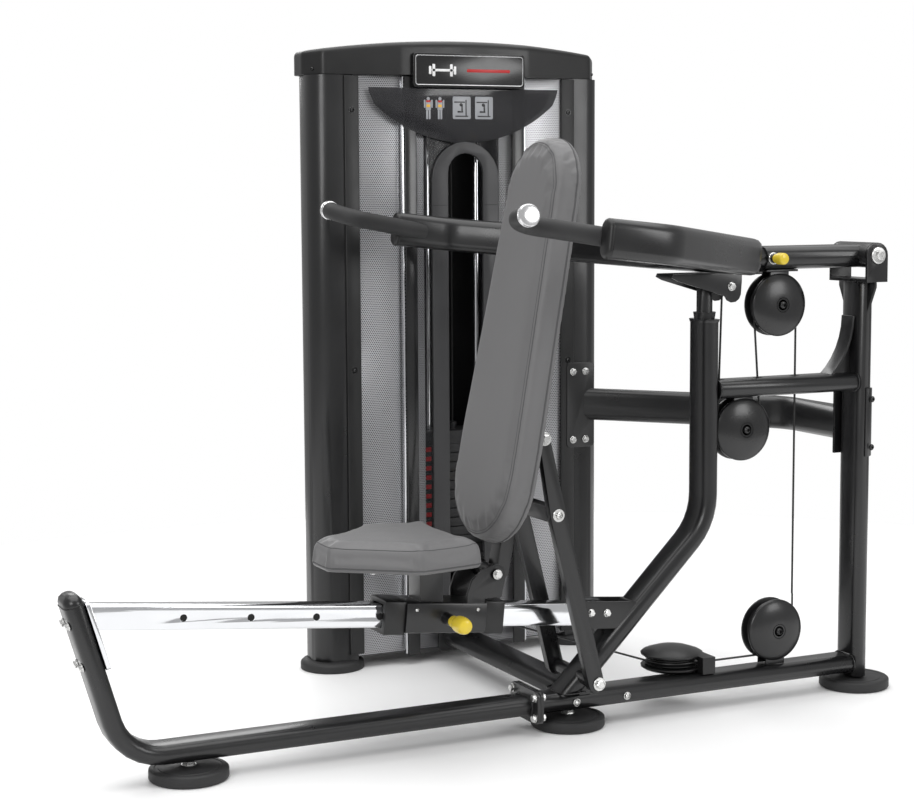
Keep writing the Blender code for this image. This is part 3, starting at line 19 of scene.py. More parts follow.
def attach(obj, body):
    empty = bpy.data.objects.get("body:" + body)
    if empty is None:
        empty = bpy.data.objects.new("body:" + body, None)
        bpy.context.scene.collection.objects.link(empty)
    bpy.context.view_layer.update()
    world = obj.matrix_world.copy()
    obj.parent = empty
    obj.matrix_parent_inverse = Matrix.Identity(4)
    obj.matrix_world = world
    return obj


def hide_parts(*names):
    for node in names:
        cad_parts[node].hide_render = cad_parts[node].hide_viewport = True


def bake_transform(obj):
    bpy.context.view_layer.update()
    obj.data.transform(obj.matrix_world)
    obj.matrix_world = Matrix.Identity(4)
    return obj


LOG = logging.getLogger("press_machine")

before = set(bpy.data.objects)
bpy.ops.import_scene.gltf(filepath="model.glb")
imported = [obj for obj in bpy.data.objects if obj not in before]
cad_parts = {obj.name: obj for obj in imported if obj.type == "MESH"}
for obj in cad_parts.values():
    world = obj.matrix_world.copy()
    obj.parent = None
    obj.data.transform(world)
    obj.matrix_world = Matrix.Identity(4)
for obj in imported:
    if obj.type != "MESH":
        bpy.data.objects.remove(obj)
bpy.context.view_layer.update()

Pair = tuple[float, float]
Triple = Sequence[float]
Outline = Sequence[Pair]
Material = bpy.types.Material
Socket = bpy.types.NodeSocket
Y_AXIS = Vector((0.0, 1.0, 0.0))
Z_AXIS = Vector((0.0, 0.0, 1.0))
TOWARDS_USER_RIGHT = Vector((0.0, -1.0, 0.0))


class Slot(Enum):
    """The record's material slots."""

    FRAME = "frame_paint"
    PLASTIC = "black_plastic"
    RUBBER = "rubber"
    VINYL = "vinyl"
    CHROME = "chrome"
    ZINC = "zinc"
    YELLOW = "yellow"
    SILVER = "silver_panel"
    CABLE = "cable_jacket"
    IRON = "weight_iron"


class Drive(Enum):
    """How a fastener's head is driven."""

    HEX = "hex head"
    SOCKET = "button head with a hex socket"


# ---------------------------------------------------------------- finishes
class Sketch:
    """A node material while it is being drawn."""

    def __init__(self, name: str, colour: Triple, roughness: float, metallic: float = 0.0) -> None:
        """Starts from one Principled shader.

        Args:
            name: The material's name.
            colour: Base colour, linear RGB.
            roughness: Roughness all over, unless a socket is wired to it later.
            metallic: Metallic value all over.
        """
        self.material = bpy.data.materials.new(name)
        self.material.use_nodes = True
        self.tree = self.material.node_tree
        self.shader = self.tree.nodes["Principled BSDF"]
        self.set(**{"Base Color": (*colour, 1.0), "Roughness": roughness, "Metallic": metallic})
        self.place = self.tree.nodes.new("ShaderNodeTexCoord").outputs["Object"]
        self.normal = None

    def set(self, **sockets: object) -> "Sketch":
        """Sets constant values on the shader's own sockets."""
        for name, value in sockets.items():
            self.shader.inputs[name].default_value = value
        return self

    def node(self, kind: str, wires: dict, **settings: object) -> bpy.types.Node:
        """Adds a node.

        Args:
            kind: The node's type, without its ShaderNode prefix.
            wires: Input name or number to a socket, or to a constant.
            settings: Attributes of the node.

        Returns:
            The new node.
        """
        made = self.tree.nodes.new("ShaderNode" + kind)
        for name, value in settings.items():
            setattr(made, name, value)
        for name, value in wires.items():
            if isinstance(value, Socket):
                self.tree.links.new(value, made.inputs[name])
            else:
                made.inputs[name].default_value = value
        return made

    def noise(self, scale: float, detail: float = 3.0, stretch: Triple = (1, 1, 1)) -> Socket:
        """Fractal noise of about 1 / scale metres, optionally stretched along an axis."""
        mapped = self.node("Mapping", {"Vector": self.place, "Scale": stretch})
        wires = {"Vector": mapped.outputs[0], "Scale": scale, "Detail": detail}
        return self.node("TexNoise", wires).outputs[0]

    def cells(self, scale: float) -> Socket:
        """Distance to the nearest of a scatter of points, about 1 / scale metres apart."""
        return self.node("TexVoronoi", {"Vector": self.place, "Scale": scale}).outputs["Distance"]

    def maths(self, operation: str, first: object, second: object = 0.0) -> Socket:
        """One step of arithmetic."""
        return self.node("Math", {0: first, 1: second}, operation=operation).outputs[0]

    def spread(self, value: Socket, low: float, high: float) -> Socket:
        """Maps noise's middle range onto low to high."""
        wires = {"Value": value, "From Min": 0.3, "From Max": 0.7, "To Min": low, "To Max": high}
        return self.node("MapRange", wires).outputs[0]

    def mix(self, share: object, first: Triple, second: Triple) -> Socket:
        """A colour between two others."""
        made = self.node("Mix", {0: share}, data_type="RGBA")
        made.inputs[6].default_value = (*first, 1.0)
        made.inputs[7].default_value = (*second, 1.0)
        return made.outputs[2]

    def wire(self, name: str, socket: Socket) -> "Sketch":
        """Drives a shader socket."""
        self.tree.links.new(socket, self.shader.inputs[name])
        return self

    def emboss(self, height: Socket, depth: float, strength: float = 1.0) -> "Sketch":
        """Adds relief of the given depth in metres on top of any earlier relief."""
        wires = {"Height": height, "Distance": depth, "Strength": strength}
        if self.normal is not None:
            wires["Normal"] = self.normal
        self.normal = self.node("Bump", wires).outputs[0]
        return self.wire("Normal", self.normal)


@dataclass(frozen=True)
class PowderCoat:
    """Satin black powder coat with a faint orange peel and uneven gloss."""

    name: str = "satin_powder_coat"
    colour: tuple = (0.0048, 0.0048, 0.0052)
    smoothest: float = 0.26
    roughest: float = 0.36

    def material(self) -> Material:
        """Draws the finish."""
        sketch = Sketch(self.name, self.colour, self.smoothest)
        sketch.set(**{"Coat Weight": 0.18, "Coat Roughness": 0.16})
        patches = sketch.noise(7.0, 4.0)
        lighter = [value * 1.7 for value in self.colour]
        sketch.wire("Base Color", sketch.mix(patches, self.colour, lighter))
        sketch.wire("Roughness", sketch.spread(patches, self.smoothest, self.roughest))
        sketch.emboss(sketch.noise(420.0, 2.0), 0.00016, 0.5)
        return sketch.emboss(sketch.noise(2600.0, 1.0), 0.00003, 0.4).material


@dataclass(frozen=True)
class MouldedPlastic:
    """Moulded plastic with a spark-eroded grain."""

    name: str
    colour: tuple
    smoothest: float
    roughest: float
    grain: float = 0.00006

    def material(self) -> Material:
        """Draws the finish."""
        sketch = Sketch(self.name, self.colour, self.smoothest)
        patches = sketch.noise(12.0, 3.0)
        deeper = [value * 0.72 for value in self.colour]
        sketch.wire("Base Color", sketch.mix(patches, deeper, self.colour))
        sketch.wire("Roughness", sketch.spread(patches, self.smoothest, self.roughest))
        return sketch.emboss(sketch.noise(1700.0, 2.0), self.grain, 0.7).material


@dataclass(frozen=True)
class SoftRubber:
    """Matt rubber with a pebbled surface and a little dust."""

    name: str
    pebbles: float
    depth: float
    colour: tuple = (0.014, 0.014, 0.0145)

    def material(self) -> Material:
        """Draws the finish."""
        sketch = Sketch(self.name, self.colour, 0.62)
        dust = sketch.noise(26.0, 6.0)
        dusty = sketch.spread(dust, 0.0, 0.5)
        sketch.wire("Base Color", sketch.mix(dusty, self.colour, (0.03, 0.03, 0.031)))
        sketch.wire("Roughness", sketch.spread(dust, 0.52, 0.72))
        return sketch.emboss(sketch.cells(self.pebbles), self.depth, 0.8).material


@dataclass(frozen=True)
class Upholstery:
    """Mid-grey coated upholstery with a leather grain and faint handling marks."""

    name: str = "grey_upholstery"
    colour: tuple = (0.118, 0.117, 0.119)
    pebbles: float = 620.0

    def material(self) -> Material:
        """Draws the finish."""
        sketch = Sketch(self.name, self.colour, 0.5)
        sketch.set(**{"Sheen Weight": 0.12, "Sheen Roughness": 0.45})
        marks = sketch.noise(9.0, 5.0)
        paler = [value * 1.14 for value in self.colour]
        sketch.wire("Base Color", sketch.mix(marks, [value * 0.9 for value in self.colour], paler))
        sketch.wire("Roughness", sketch.spread(marks, 0.44, 0.58))
        sketch.emboss(sketch.noise(34.0, 3.0), 0.0007, 0.35)
        sketch.emboss(sketch.cells(self.pebbles), 0.00022, 0.65)
        return sketch.emboss(sketch.noise(1500.0, 2.0), 0.00006, 0.5).material


@dataclass(frozen=True)
class BrightMetal:
    """Plated or brushed metal with cloudy gloss and fine marks along one direction."""

    name: str
    colour: tuple
    smoothest: float
    roughest: float
    clouds: float = 14.0
    stretch: tuple = (1.0, 1.0, 1.0)
    ripple: float = 0.00004

    def material(self) -> Material:
        """Draws the finish."""
        sketch = Sketch(self.name, self.colour, self.smoothest, 1.0)
        clouds = sketch.noise(self.clouds, 5.0)
        marks = sketch.noise(700.0, 3.0, self.stretch)
        duller = [value * 0.86 for value in self.colour]
        sketch.wire("Base Color", sketch.mix(clouds, duller, self.colour))
        sketch.wire("Roughness", sketch.spread(clouds, self.smoothest, self.roughest))
        return sketch.emboss(marks, self.ripple, 0.4).material


@dataclass(frozen=True)
class PerforatedSheet:
    """Silver sheet with staggered round holes, the holes painted near-black as painted shade seen
    through them.
    """

    name: str = "perforated_silver"
    colour: tuple = (0.50, 0.50, 0.515)
    pitch: float = 0.0052
    hole_share: float = 0.29

    def material(self) -> Material:
        """Draws the finish: rows of holes, every second row shifted by half a pitch."""
        sketch = Sketch(self.name, self.colour, 0.34, 0.75)
        axes = sketch.node("SeparateXYZ", {0: sketch.place}).outputs
        row_height = self.pitch * math.sqrt(3) / 2
        rows = sketch.maths("DIVIDE", axes[2], row_height)
        shift = sketch.maths("MULTIPLY", sketch.maths("MODULO", sketch.maths("FLOOR", rows), 2.0), 0.5)
        columns = sketch.maths("ADD", sketch.maths("DIVIDE", axes[0], self.pitch), shift)
        across = sketch.maths("SUBTRACT", sketch.maths("FRACT", columns), 0.5)
        along = sketch.maths("SUBTRACT", sketch.maths("FRACT", rows), 0.5)
        along = sketch.maths("MULTIPLY", along, math.sqrt(3) / 2)
        squares = [sketch.maths("MULTIPLY", offset, offset) for offset in (across, along)]
        from_hole = sketch.maths("SQRT", sketch.maths("ADD", *squares))
        metal = sketch.maths("GREATER_THAN", from_hole, self.hole_share)
        # painted shade: the holes get a near-black colour for the shaded inside behind the sheet
        sketch.wire("Base Color", sketch.mix(metal, (0.02, 0.02, 0.022), self.colour))
        sketch.wire("Roughness", sketch.spread(sketch.noise(8.0, 4.0), 0.28, 0.42))
        return sketch.emboss(metal, 0.0004, 0.6).material


@dataclass(frozen=True)
class SmokedPlastic:
    """Smoked see-through sheet."""

    name: str = "smoked_sheet"
    colour: tuple = (0.035, 0.035, 0.038)
    cover: float = 0.16

    def material(self) -> Material:
        """Draws the finish."""
        sketch = Sketch(self.name, self.colour, 0.09)
        sketch.set(Alpha=self.cover)
        haze = sketch.noise(5.0, 4.0)
        sketch.wire("Base Color", sketch.mix(haze, self.colour, [value * 1.5 for value in self.colour]))
        sketch.wire("Roughness", sketch.spread(haze, 0.07, 0.15))
        return sketch.emboss(sketch.noise(3.0, 1.0), 0.0005, 0.12).material


@dataclass(frozen=True)
class CastIron:
    """Painted weight plate with a hammered skin."""

    name: str = "painted_iron"
    colour: tuple = (0.017, 0.017, 0.018)

    def material(self) -> Material:
        """Draws the finish."""
        sketch = Sketch(self.name, self.colour, 0.45, 0.25)
        wear = sketch.noise(40.0, 6.0)
        worn = sketch.spread(wear, 0.0, 0.6)
        sketch.wire("Base Color", sketch.mix(worn, self.colour, (0.045, 0.045, 0.046)))
        sketch.wire("Roughness", sketch.spread(wear, 0.38, 0.56))
        return sketch.emboss(sketch.cells(260.0), 0.0003, 0.5).material


@dataclass(frozen=True)
class PrintedSurface:
    """Printed card or sticker with a slight unevenness in the ink."""

    name: str
    colour: tuple
    roughness: float = 0.36

    def material(self) -> Material:
        """Draws the finish."""
        sketch = Sketch(self.name, self.colour, self.roughness)
        ink = sketch.noise(180.0, 4.0)
        sketch.wire("Base Color", sketch.mix(ink, [value * 0.88 for value in self.colour], self.colour))
        return sketch.emboss(ink, 0.00002, 0.3).material


@dataclass(frozen=True)
class Finishes:
    """Every finish on the machine."""

    coat: Material
    plastic: Material
    dark_plastic: Material
    gloss: Material
    shadow: Material
    foot: Material
    grip: Material
    vinyl: Material
    thread: Material
    chrome: Material
    zinc: Material
    aluminium: Material
    yellow: Material
    silver: Material
    smoked: Material
    cable: Material
    iron: Material
    card: Material
    white: Material
    pale: Material
    red: Material
    amber: Material

    @classmethod
    def mixed(cls) -> "Finishes":
        """Makes every finish once."""
        recipes = {
            "coat": PowderCoat(),
            "plastic": MouldedPlastic("moulded_black", (0.0065, 0.0065, 0.0068), 0.33, 0.45),
            "dark_plastic": MouldedPlastic("moulded_charcoal", (0.040, 0.040, 0.042), 0.36, 0.48),
            "gloss": MouldedPlastic("gloss_black", (0.012, 0.012, 0.0125), 0.14, 0.22, 0.00001),
            # near-black: painted shade in hole bores and plate gaps, and the colour of dark joint lines
            "shadow": MouldedPlastic("painted_shade_and_joint_black", (0.003, 0.003, 0.003), 0.7, 0.9),
            "foot": SoftRubber("foot_rubber", 900.0, 0.00008),
            "grip": SoftRubber("grip_rubber", 520.0, 0.0002),
            "vinyl": Upholstery(),
            "thread": PrintedSurface("grey_thread", (0.07, 0.07, 0.072), 0.7),
            "chrome": BrightMetal("chrome_plate", (0.80, 0.81, 0.83), 0.05, 0.17, 9.0),
            "zinc": BrightMetal("zinc_plate", (0.72, 0.72, 0.71), 0.2, 0.34, 60.0),
            "aluminium": BrightMetal(
                "turned_aluminium", (0.82, 0.82, 0.83), 0.22, 0.3, 30.0, (0.08, 1.0, 0.08), 0.00001
            ),
            "yellow": MouldedPlastic("gloss_yellow", (0.80, 0.60, 0.045), 0.2, 0.3, 0.00001),
            "silver": PerforatedSheet(),
            "smoked": SmokedPlastic(),
            "cable": MouldedPlastic("cable_sleeve", (0.012, 0.012, 0.012), 0.3, 0.4),
            "iron": CastIron(),
            "card": SmokedPlastic("smoked_placard", (0.020, 0.020, 0.022), 0.80),
            "white": PrintedSurface("white_ink", (0.82, 0.82, 0.82)),
            "pale": PrintedSurface("pale_grey_ink", (0.34, 0.35, 0.37)),
            "red": PrintedSurface("red_ink", (0.46, 0.012, 0.014)),
            "amber": PrintedSurface("amber_ink", (0.75, 0.42, 0.03)),
        }
        return cls(**{name: recipe.material() for name, recipe in recipes.items()})


# ---------------------------------------------------------------- outlines and paths
def arc(centre: Pair, radius: float, first: float, last: float, steps: int) -> list[Pair]:
    """Points along a circle.

    Args:
        centre: The circle's centre.
        radius: Its radius.
        first: Starting angle in degrees.
        last: End angle in degrees.
        steps: How many chords the stretch has.

    Returns:
        The points, both ends included.
    """
    angles = (math.radians(first + (last - first) * step / steps) for step in range(steps + 1))
    return [(centre[0] + radius * math.cos(a), centre[1] + radius * math.sin(a)) for a in angles]


def circle(radius: float, sides: int) -> list[Pair]:
    """A closed circle's points round the origin."""
    return arc((0, 0), radius, 0, 360, sides)[:-1]


def stadium(wide: float, tall: float, steps: int = 12) -> list[Pair]:
    """A flat oval centred on the origin, wide along its first axis."""
    reach, radius = (wide - tall) / 2, tall / 2
    return arc((reach, 0), radius, -90, 90, steps) + arc((-reach, 0), radius, 90, 270, steps)


def rectangle(wide: float, tall: float, corner: float, steps: int = 6) -> list[Pair]:
    """A rectangle with round corners, centred on the origin."""
    x, y = wide / 2 - corner, tall / 2 - corner
    points = arc((x, -y), corner, -90, 0, steps) + arc((x, y), corner, 0, 90, steps)
    return points + arc((-x, y), corner, 90, 180, steps) + arc((-x, -y), corner, 180, 270, steps)


def inset(outline: Outline, distance: float) -> list[Pair]:
    """Moves a closed outline's sides inwards."""
    count = len(outline)
    turning = sum(
        outline[i][0] * outline[(i + 1) % count][1] - outline[(i + 1) % count][0] * outline[i][1]
        for i in range(count)
    )
    inwards = 1.0 if turning > 0 else -1.0
    moved = []
    for i, point in enumerate(outline):
        here = Vector(point)
        before = (here - Vector(outline[i - 1])).normalized()
        after = (Vector(outline[(i + 1) % count]) - here).normalized()
        along = (before + after).normalized()
        across = Vector((-along.y, along.x)) * inwards
        stretch = max(0.4, math.sqrt(max(0.0, (1 + before.dot(after)) / 2)))
        moved.append(tuple(here + across * distance / stretch))
    return moved


def even(outline: Outline, count: int) -> list[Pair]:
    """Spreads points evenly along a closed outline."""
    loop = [Vector(point) for point in outline]
    lengths = [(loop[(i + 1) % len(loop)] - point).length for i, point in enumerate(loop)]
    total, spread, i, passed = sum(lengths), [], 0, 0.0
    for step in range(count):
        goal = total * step / count
        while passed + lengths[i] < goal:
            passed += lengths[i]
            i += 1
        share = (goal - passed) / lengths[i]
        spread.append(tuple(loop[i].lerp(loop[(i + 1) % len(loop)], share)))
    return spread


def rounded(
    points: Sequence[Vector], radius: float, steps: int = 10, closed: bool = False
) -> list[Vector]:
    """Replaces a polyline's corners with arcs.

    Args:
        points: The corners, 2D or 3D.
        radius: The arcs' radius.
        steps: Chords in each arc.
        closed: Whether the last point joins the first.

    Returns:
        The rounded line's points.
    """
    made = []
    corners = [Vector(point) for point in points]
    for i, corner in enumerate(corners):
        if not closed and i in (0, len(corners) - 1):
            made.append(corner)
            continue
        back = (corners[i - 1] - corner).normalized()
        ahead = (corners[(i + 1) % len(corners)] - corner).normalized()
        half = back.angle(ahead) / 2
        if half > math.radians(89.5):
            made.append(corner)
            continue
        centre = corner + (back + ahead).normalized() * radius / math.sin(half)
        first = corner + back * radius / math.tan(half) - centre
        last = corner + ahead * radius / math.tan(half) - centre
        sweep = first.angle(last)
        for step in range(steps + 1):
            share = step / steps
            mixed = first * math.sin((1 - share) * sweep) + last * math.sin(share * sweep)
            made.append(centre + mixed / math.sin(sweep))
    return made


def softened(corners: Outline, radius: float, steps: int) -> list[Pair]:
    """A closed polygon with its corners rounded."""
    loop = rounded([Vector(corner) for corner in corners], radius, steps, closed=True)
    return [tuple(point) for point in loop]


def facing(centre: Triple, axis: Triple) -> Matrix:
    """A place whose local Z points along an axis."""
    turn = Vector(axis).to_track_quat("Z", "Y").to_matrix().to_4x4()
    return Matrix.Translation(Vector(centre)) @ turn


def upright(centre: Triple) -> Matrix:
    """A place for a plate on the tower's face: local X is +X, local Y is +Z, local Z is -Y."""
    turn = Matrix(((1, 0, 0, 0), (0, 0, -1, 0), (0, 1, 0, 0), (0, 0, 0, 1)))
    return Matrix.Translation(Vector(centre)) @ turn


# ---------------------------------------------------------------- pieces
class Piece:
    """A mesh under construction, in the frame's own axes."""

    def __init__(self, name: str) -> None:
        """Starts an empty mesh."""
        self.name = name
        self.bm = bmesh.new()

    def skin(self, rows: Sequence[Sequence[Vector]], caps: slice = slice(0, 2)) -> "Piece":
        """Joins closed rings of points into a skin.

        Args:
            rows: The rings; a ring of one point is a tip.
            caps: Which of the two open ends get a cap.

        Returns:
            This piece.
        """
        made = [[self.bm.verts.new(point) for point in row] for row in rows]
        for low, high in zip(made, made[1:]):
            count = max(len(low), len(high))
            for i in range(count):
                j = (i + 1) % count
                corners = [low[i % len(low)], low[j % len(low)]]
                corners += [high[j % len(high)], high[i % len(high)]]
                unique = list(dict.fromkeys(corners))
                if len(unique) > 2:
                    self.bm.faces.new(unique)
        for end in (made[0], made[-1])[caps]:
            if len(end) > 2:
                self.bm.faces.new(end)
        return self

    def lathe(self, profile: Outline, centre: Triple, axis: Triple, sides: int = 72) -> "Piece":
        """Turns a profile of (radius, height) about an axis.

        Args:
            profile: The profile's points.
            centre: Where height 0 lies.
            axis: The axis's direction.
            sides: Facets round the axis.

        Returns:
            This piece.
        """
        place = facing(centre, axis)
        rows = []
        for radius, height in profile:
            if radius < 1e-7:
                rows.append([place @ Vector((0, 0, height))])
                continue
            rows.append([place @ Vector((x, y, height)) for x, y in circle(radius, sides)])
        return self.skin(rows)

    def puck(
        self, radius: float, low: float, high: float, centre: Triple, axis: Triple, sides: int
    ) -> "Piece":
        """A plain disc between two heights over centre."""
        return self.lathe([(0, low), (radius, low), (radius, high), (0, high)], centre, axis, sides)

    def tile(self, outline: Outline, centre: Triple, thick: float, edge: float) -> "Piece":
        """A thin plate on the tower's face."""
        return self.slab(outline, thick, upright(centre), edge)

    def sweep(self, path: Sequence[Vector], section: Outline, side: Triple) -> "Piece":
        """Runs a section along a path, its first axis kept towards side."""
        rows = []
        for i, point in enumerate(path):
            ahead = path[min(i + 1, len(path) - 1)] - path[max(i - 1, 0)]
            ahead.normalize()
            across = Vector(side) - ahead * ahead.dot(Vector(side))
            across.normalize()
            above = across.cross(ahead)
            rows.append([point + across * a + above * b for a, b in section])
        return self.skin(rows)

    def tube(
        self, path: Sequence[Vector], radius: float, side: Triple = (0, 0, 1), sides: int = 28
    ) -> "Piece":
        """Runs a round section along a path."""
        return self.sweep(path, circle(radius, sides), side)

    def ring(self, loop: Sequence[Vector], radius: float, sides: int = 8) -> "Piece":
        """A round bead along a closed loop."""
        count = len(loop)
        rows = []
        for i, point in enumerate(loop):
            ahead = (loop[(i + 1) % count] - loop[i - 1]).normalized()
            if i == 0:
                across = ahead.orthogonal().normalized()
            across = (across - ahead * across.dot(ahead)).normalized()
            above = ahead.cross(across)
            rows.append([point + across * a + above * b for a, b in circle(radius, sides)])
        made = [[self.bm.verts.new(point) for point in row] for row in rows]
        for i, low in enumerate(made):
            high = made[(i + 1) % count]
            for j in range(sides):
                k = (j + 1) % sides
                self.bm.faces.new((low[j], low[k], high[k], high[j]))
        return self

    def tiers(self, outline: Outline, levels: Outline, place: Matrix) -> "Piece":
        """Stacks an outline at (height, inset) levels in a local place."""
        rows = []
        for height, step in levels:
            shape = inset(outline, step) if step else outline
            rows.append([place @ Vector((x, y, height)) for x, y in shape])
        return self.skin(rows)

    def slab(self, outline: Outline, thick: float, place: Matrix, edge: float = 0.0006) -> "Piece":
        """A plate on the local XY plane, rising by its thickness, with softened edges."""
        levels = [
            (0.0, edge), (edge * 0.3, edge * 0.3), (edge, 0.0), (thick - edge, 0.0),
            (thick - edge * 0.3, edge * 0.3), (thick, edge),
        ]
        return self.tiers(outline, levels, place)

    def block(self, low: Triple, high: Triple, edge: float = 0.001) -> "Piece":
        """A box with softened edges."""
        low, high = Vector(low), Vector(high)
        size = high - low
        shape = rectangle(size.x, size.y, min(edge * 1.5, size.x * 0.49, size.y * 0.49), 3)
        place = Matrix.Translation(Vector(((low.x + high.x) / 2, (low.y + high.y) / 2, low.z)))
        return self.slab(shape, size.z, place, edge)

    def fastener(
        self, at: Triple, axis: Triple, across: float, drive: Drive, washer: float = 0.0
    ) -> "Piece":
        """A bolt head, with its washer.

        Args:
            at: Where the head's seat meets its axis.
            axis: Which way the head stands out.
            across: The head's width.
            drive: How it is driven.
            washer: The washer's diameter, or 0 for none.

        Returns:
            This piece.
        """
        at, axis = Vector(at), Vector(axis).normalized()
        if washer:
            rim, thick = washer / 2, 0.0018
            profile = [(0, 0), (rim - 0.0004, 0), (rim, 0.0004), (rim, thick - 0.0005)]
            self.lathe([*profile, (rim - 0.0006, thick), (0, thick)], at, axis, 48)
            at = at + axis * thick
        r, tall = across / 2, across * 0.42
        if drive is Drive.HEX:
            self.puck(r * 1.02, 0, 0.0008, at, axis, 40)
            profile = [
                (0, 0.0008), (r * 1.12, 0.0008), (r * 1.12, tall - r * 0.16), (r * 0.93, tall),
                (0, tall),
            ]
            self.lathe(profile, at, axis, 6)
            crown = [(0, tall), (r * 0.84, tall), (r * 0.8, tall + 0.0003), (0, tall + 0.0003)]
            return self.lathe(crown, at, axis, 32)
        angles = (math.radians(step * 9) for step in range(9))
        dome = [(r * math.cos(angle), tall * math.sin(angle)) for angle in angles]
        well = [
            (r * 0.46, tall * 0.93), (r * 0.43, tall * 0.86), (r * 0.43, tall * 0.35),
            (0, tall * 0.35),
        ]
        rim = [point for point in dome if point[0] > r * 0.47]
        return self.lathe([(0, 0), *rim, *well], at, axis, 40)

    def finish(
        self,
        material: Material,
        body: str | None,
        slot: Slot,
        replaces: Iterable[str] = (),
        sharp: float = 32.0,
    ) -> bpy.types.Object:
        """Turns the mesh into a dressed object that rides on a body.

        Args:
            material: Its finish.
            body: The body it moves with, or None where the caller places it between two.
            slot: The record's slot for its finish; not used.
            replaces: Frame nodes it stands for.
            sharp: Edges above this angle, in degrees, stay crisp.

        Returns:
            The object.
        """
        bmesh.ops.remove_doubles(self.bm, verts=self.bm.verts, dist=1e-6)
        bmesh.ops.dissolve_degenerate(self.bm, edges=self.bm.edges, dist=1e-7)
        bmesh.ops.recalc_face_normals(self.bm, faces=self.bm.faces)
        mesh = bpy.data.meshes.new(self.name)
        self.bm.to_mesh(mesh)
        self.bm.free()
        mesh.shade_smooth()
        mesh.set_sharp_from_angle(angle=math.radians(sharp))
        mesh.materials.append(material)
        made = bpy.data.objects.new(self.name, mesh)
        bpy.context.scene.collection.objects.link(made)
        if body:
            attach(made, body)
        if replaces:
            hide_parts(*replaces)
        LOG.info("%s on %s: %d faces", self.name, body, len(mesh.polygons))
        return made


def dress(names: Iterable[str], material: Material, edge: float = 0.0009) -> None:
    """Gives frame nodes their finish, smooth curved faces and softened edges.

    Args:
        names: The nodes.
        material: Their finish.
        edge: Width of the softened edges.
    """
    for name in names:
        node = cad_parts[name]
        node.data.materials.clear()
        node.data.materials.append(material)
        node.data.shade_smooth()
        weld = node.modifiers.new("weld", "WELD")
        weld.merge_threshold = 0.00002
        merge = node.modifiers.new("flat_faces", "DECIMATE")
        merge.decimate_type = "DISSOLVE"
        merge.angle_limit = math.radians(0.4)
        soften = node.modifiers.new("soft_edges", "BEVEL")
        soften.limit_method = "ANGLE"
        soften.angle_limit = math.radians(38)
        soften.width = edge
        soften.segments = 3
        soften.harden_normals = True
        LOG.info("dressed %s", name)


def aimed(centre: Triple, axis: Triple, side: Triple) -> Matrix:
    """A place whose local Z points along an axis and local X towards side."""
    up = Vector(axis).normalized()
    across = Vector(side) - up * up.dot(Vector(side))
    across.normalize()
    turn = Matrix((across, up.cross(across), up)).transposed().to_4x4()
    return Matrix.Translation(Vector(centre)) @ turn


# ---------------------------------------------------------------- chassis
RAIL = Matrix.Translation((-0.5035, 0.0, 0.3055)) @ Matrix.Rotation(math.radians(5.33), 4, "Y")
RAIL_SLOPE = math.cos(math.radians(5.33))
FRONT_TOP = Vector((-1.131, 0.0, 0.391))
FRONT_LEAN = Vector((-0.096, 0.0, 0.329)).normalized()


def on_rail(x: float, y: float = 0.0, above: float = 0.0) -> Vector:
    """A point beside the seat rail at a world X."""
    return RAIL @ Vector(((x + 0.5035) / RAIL_SLOPE, y, above))


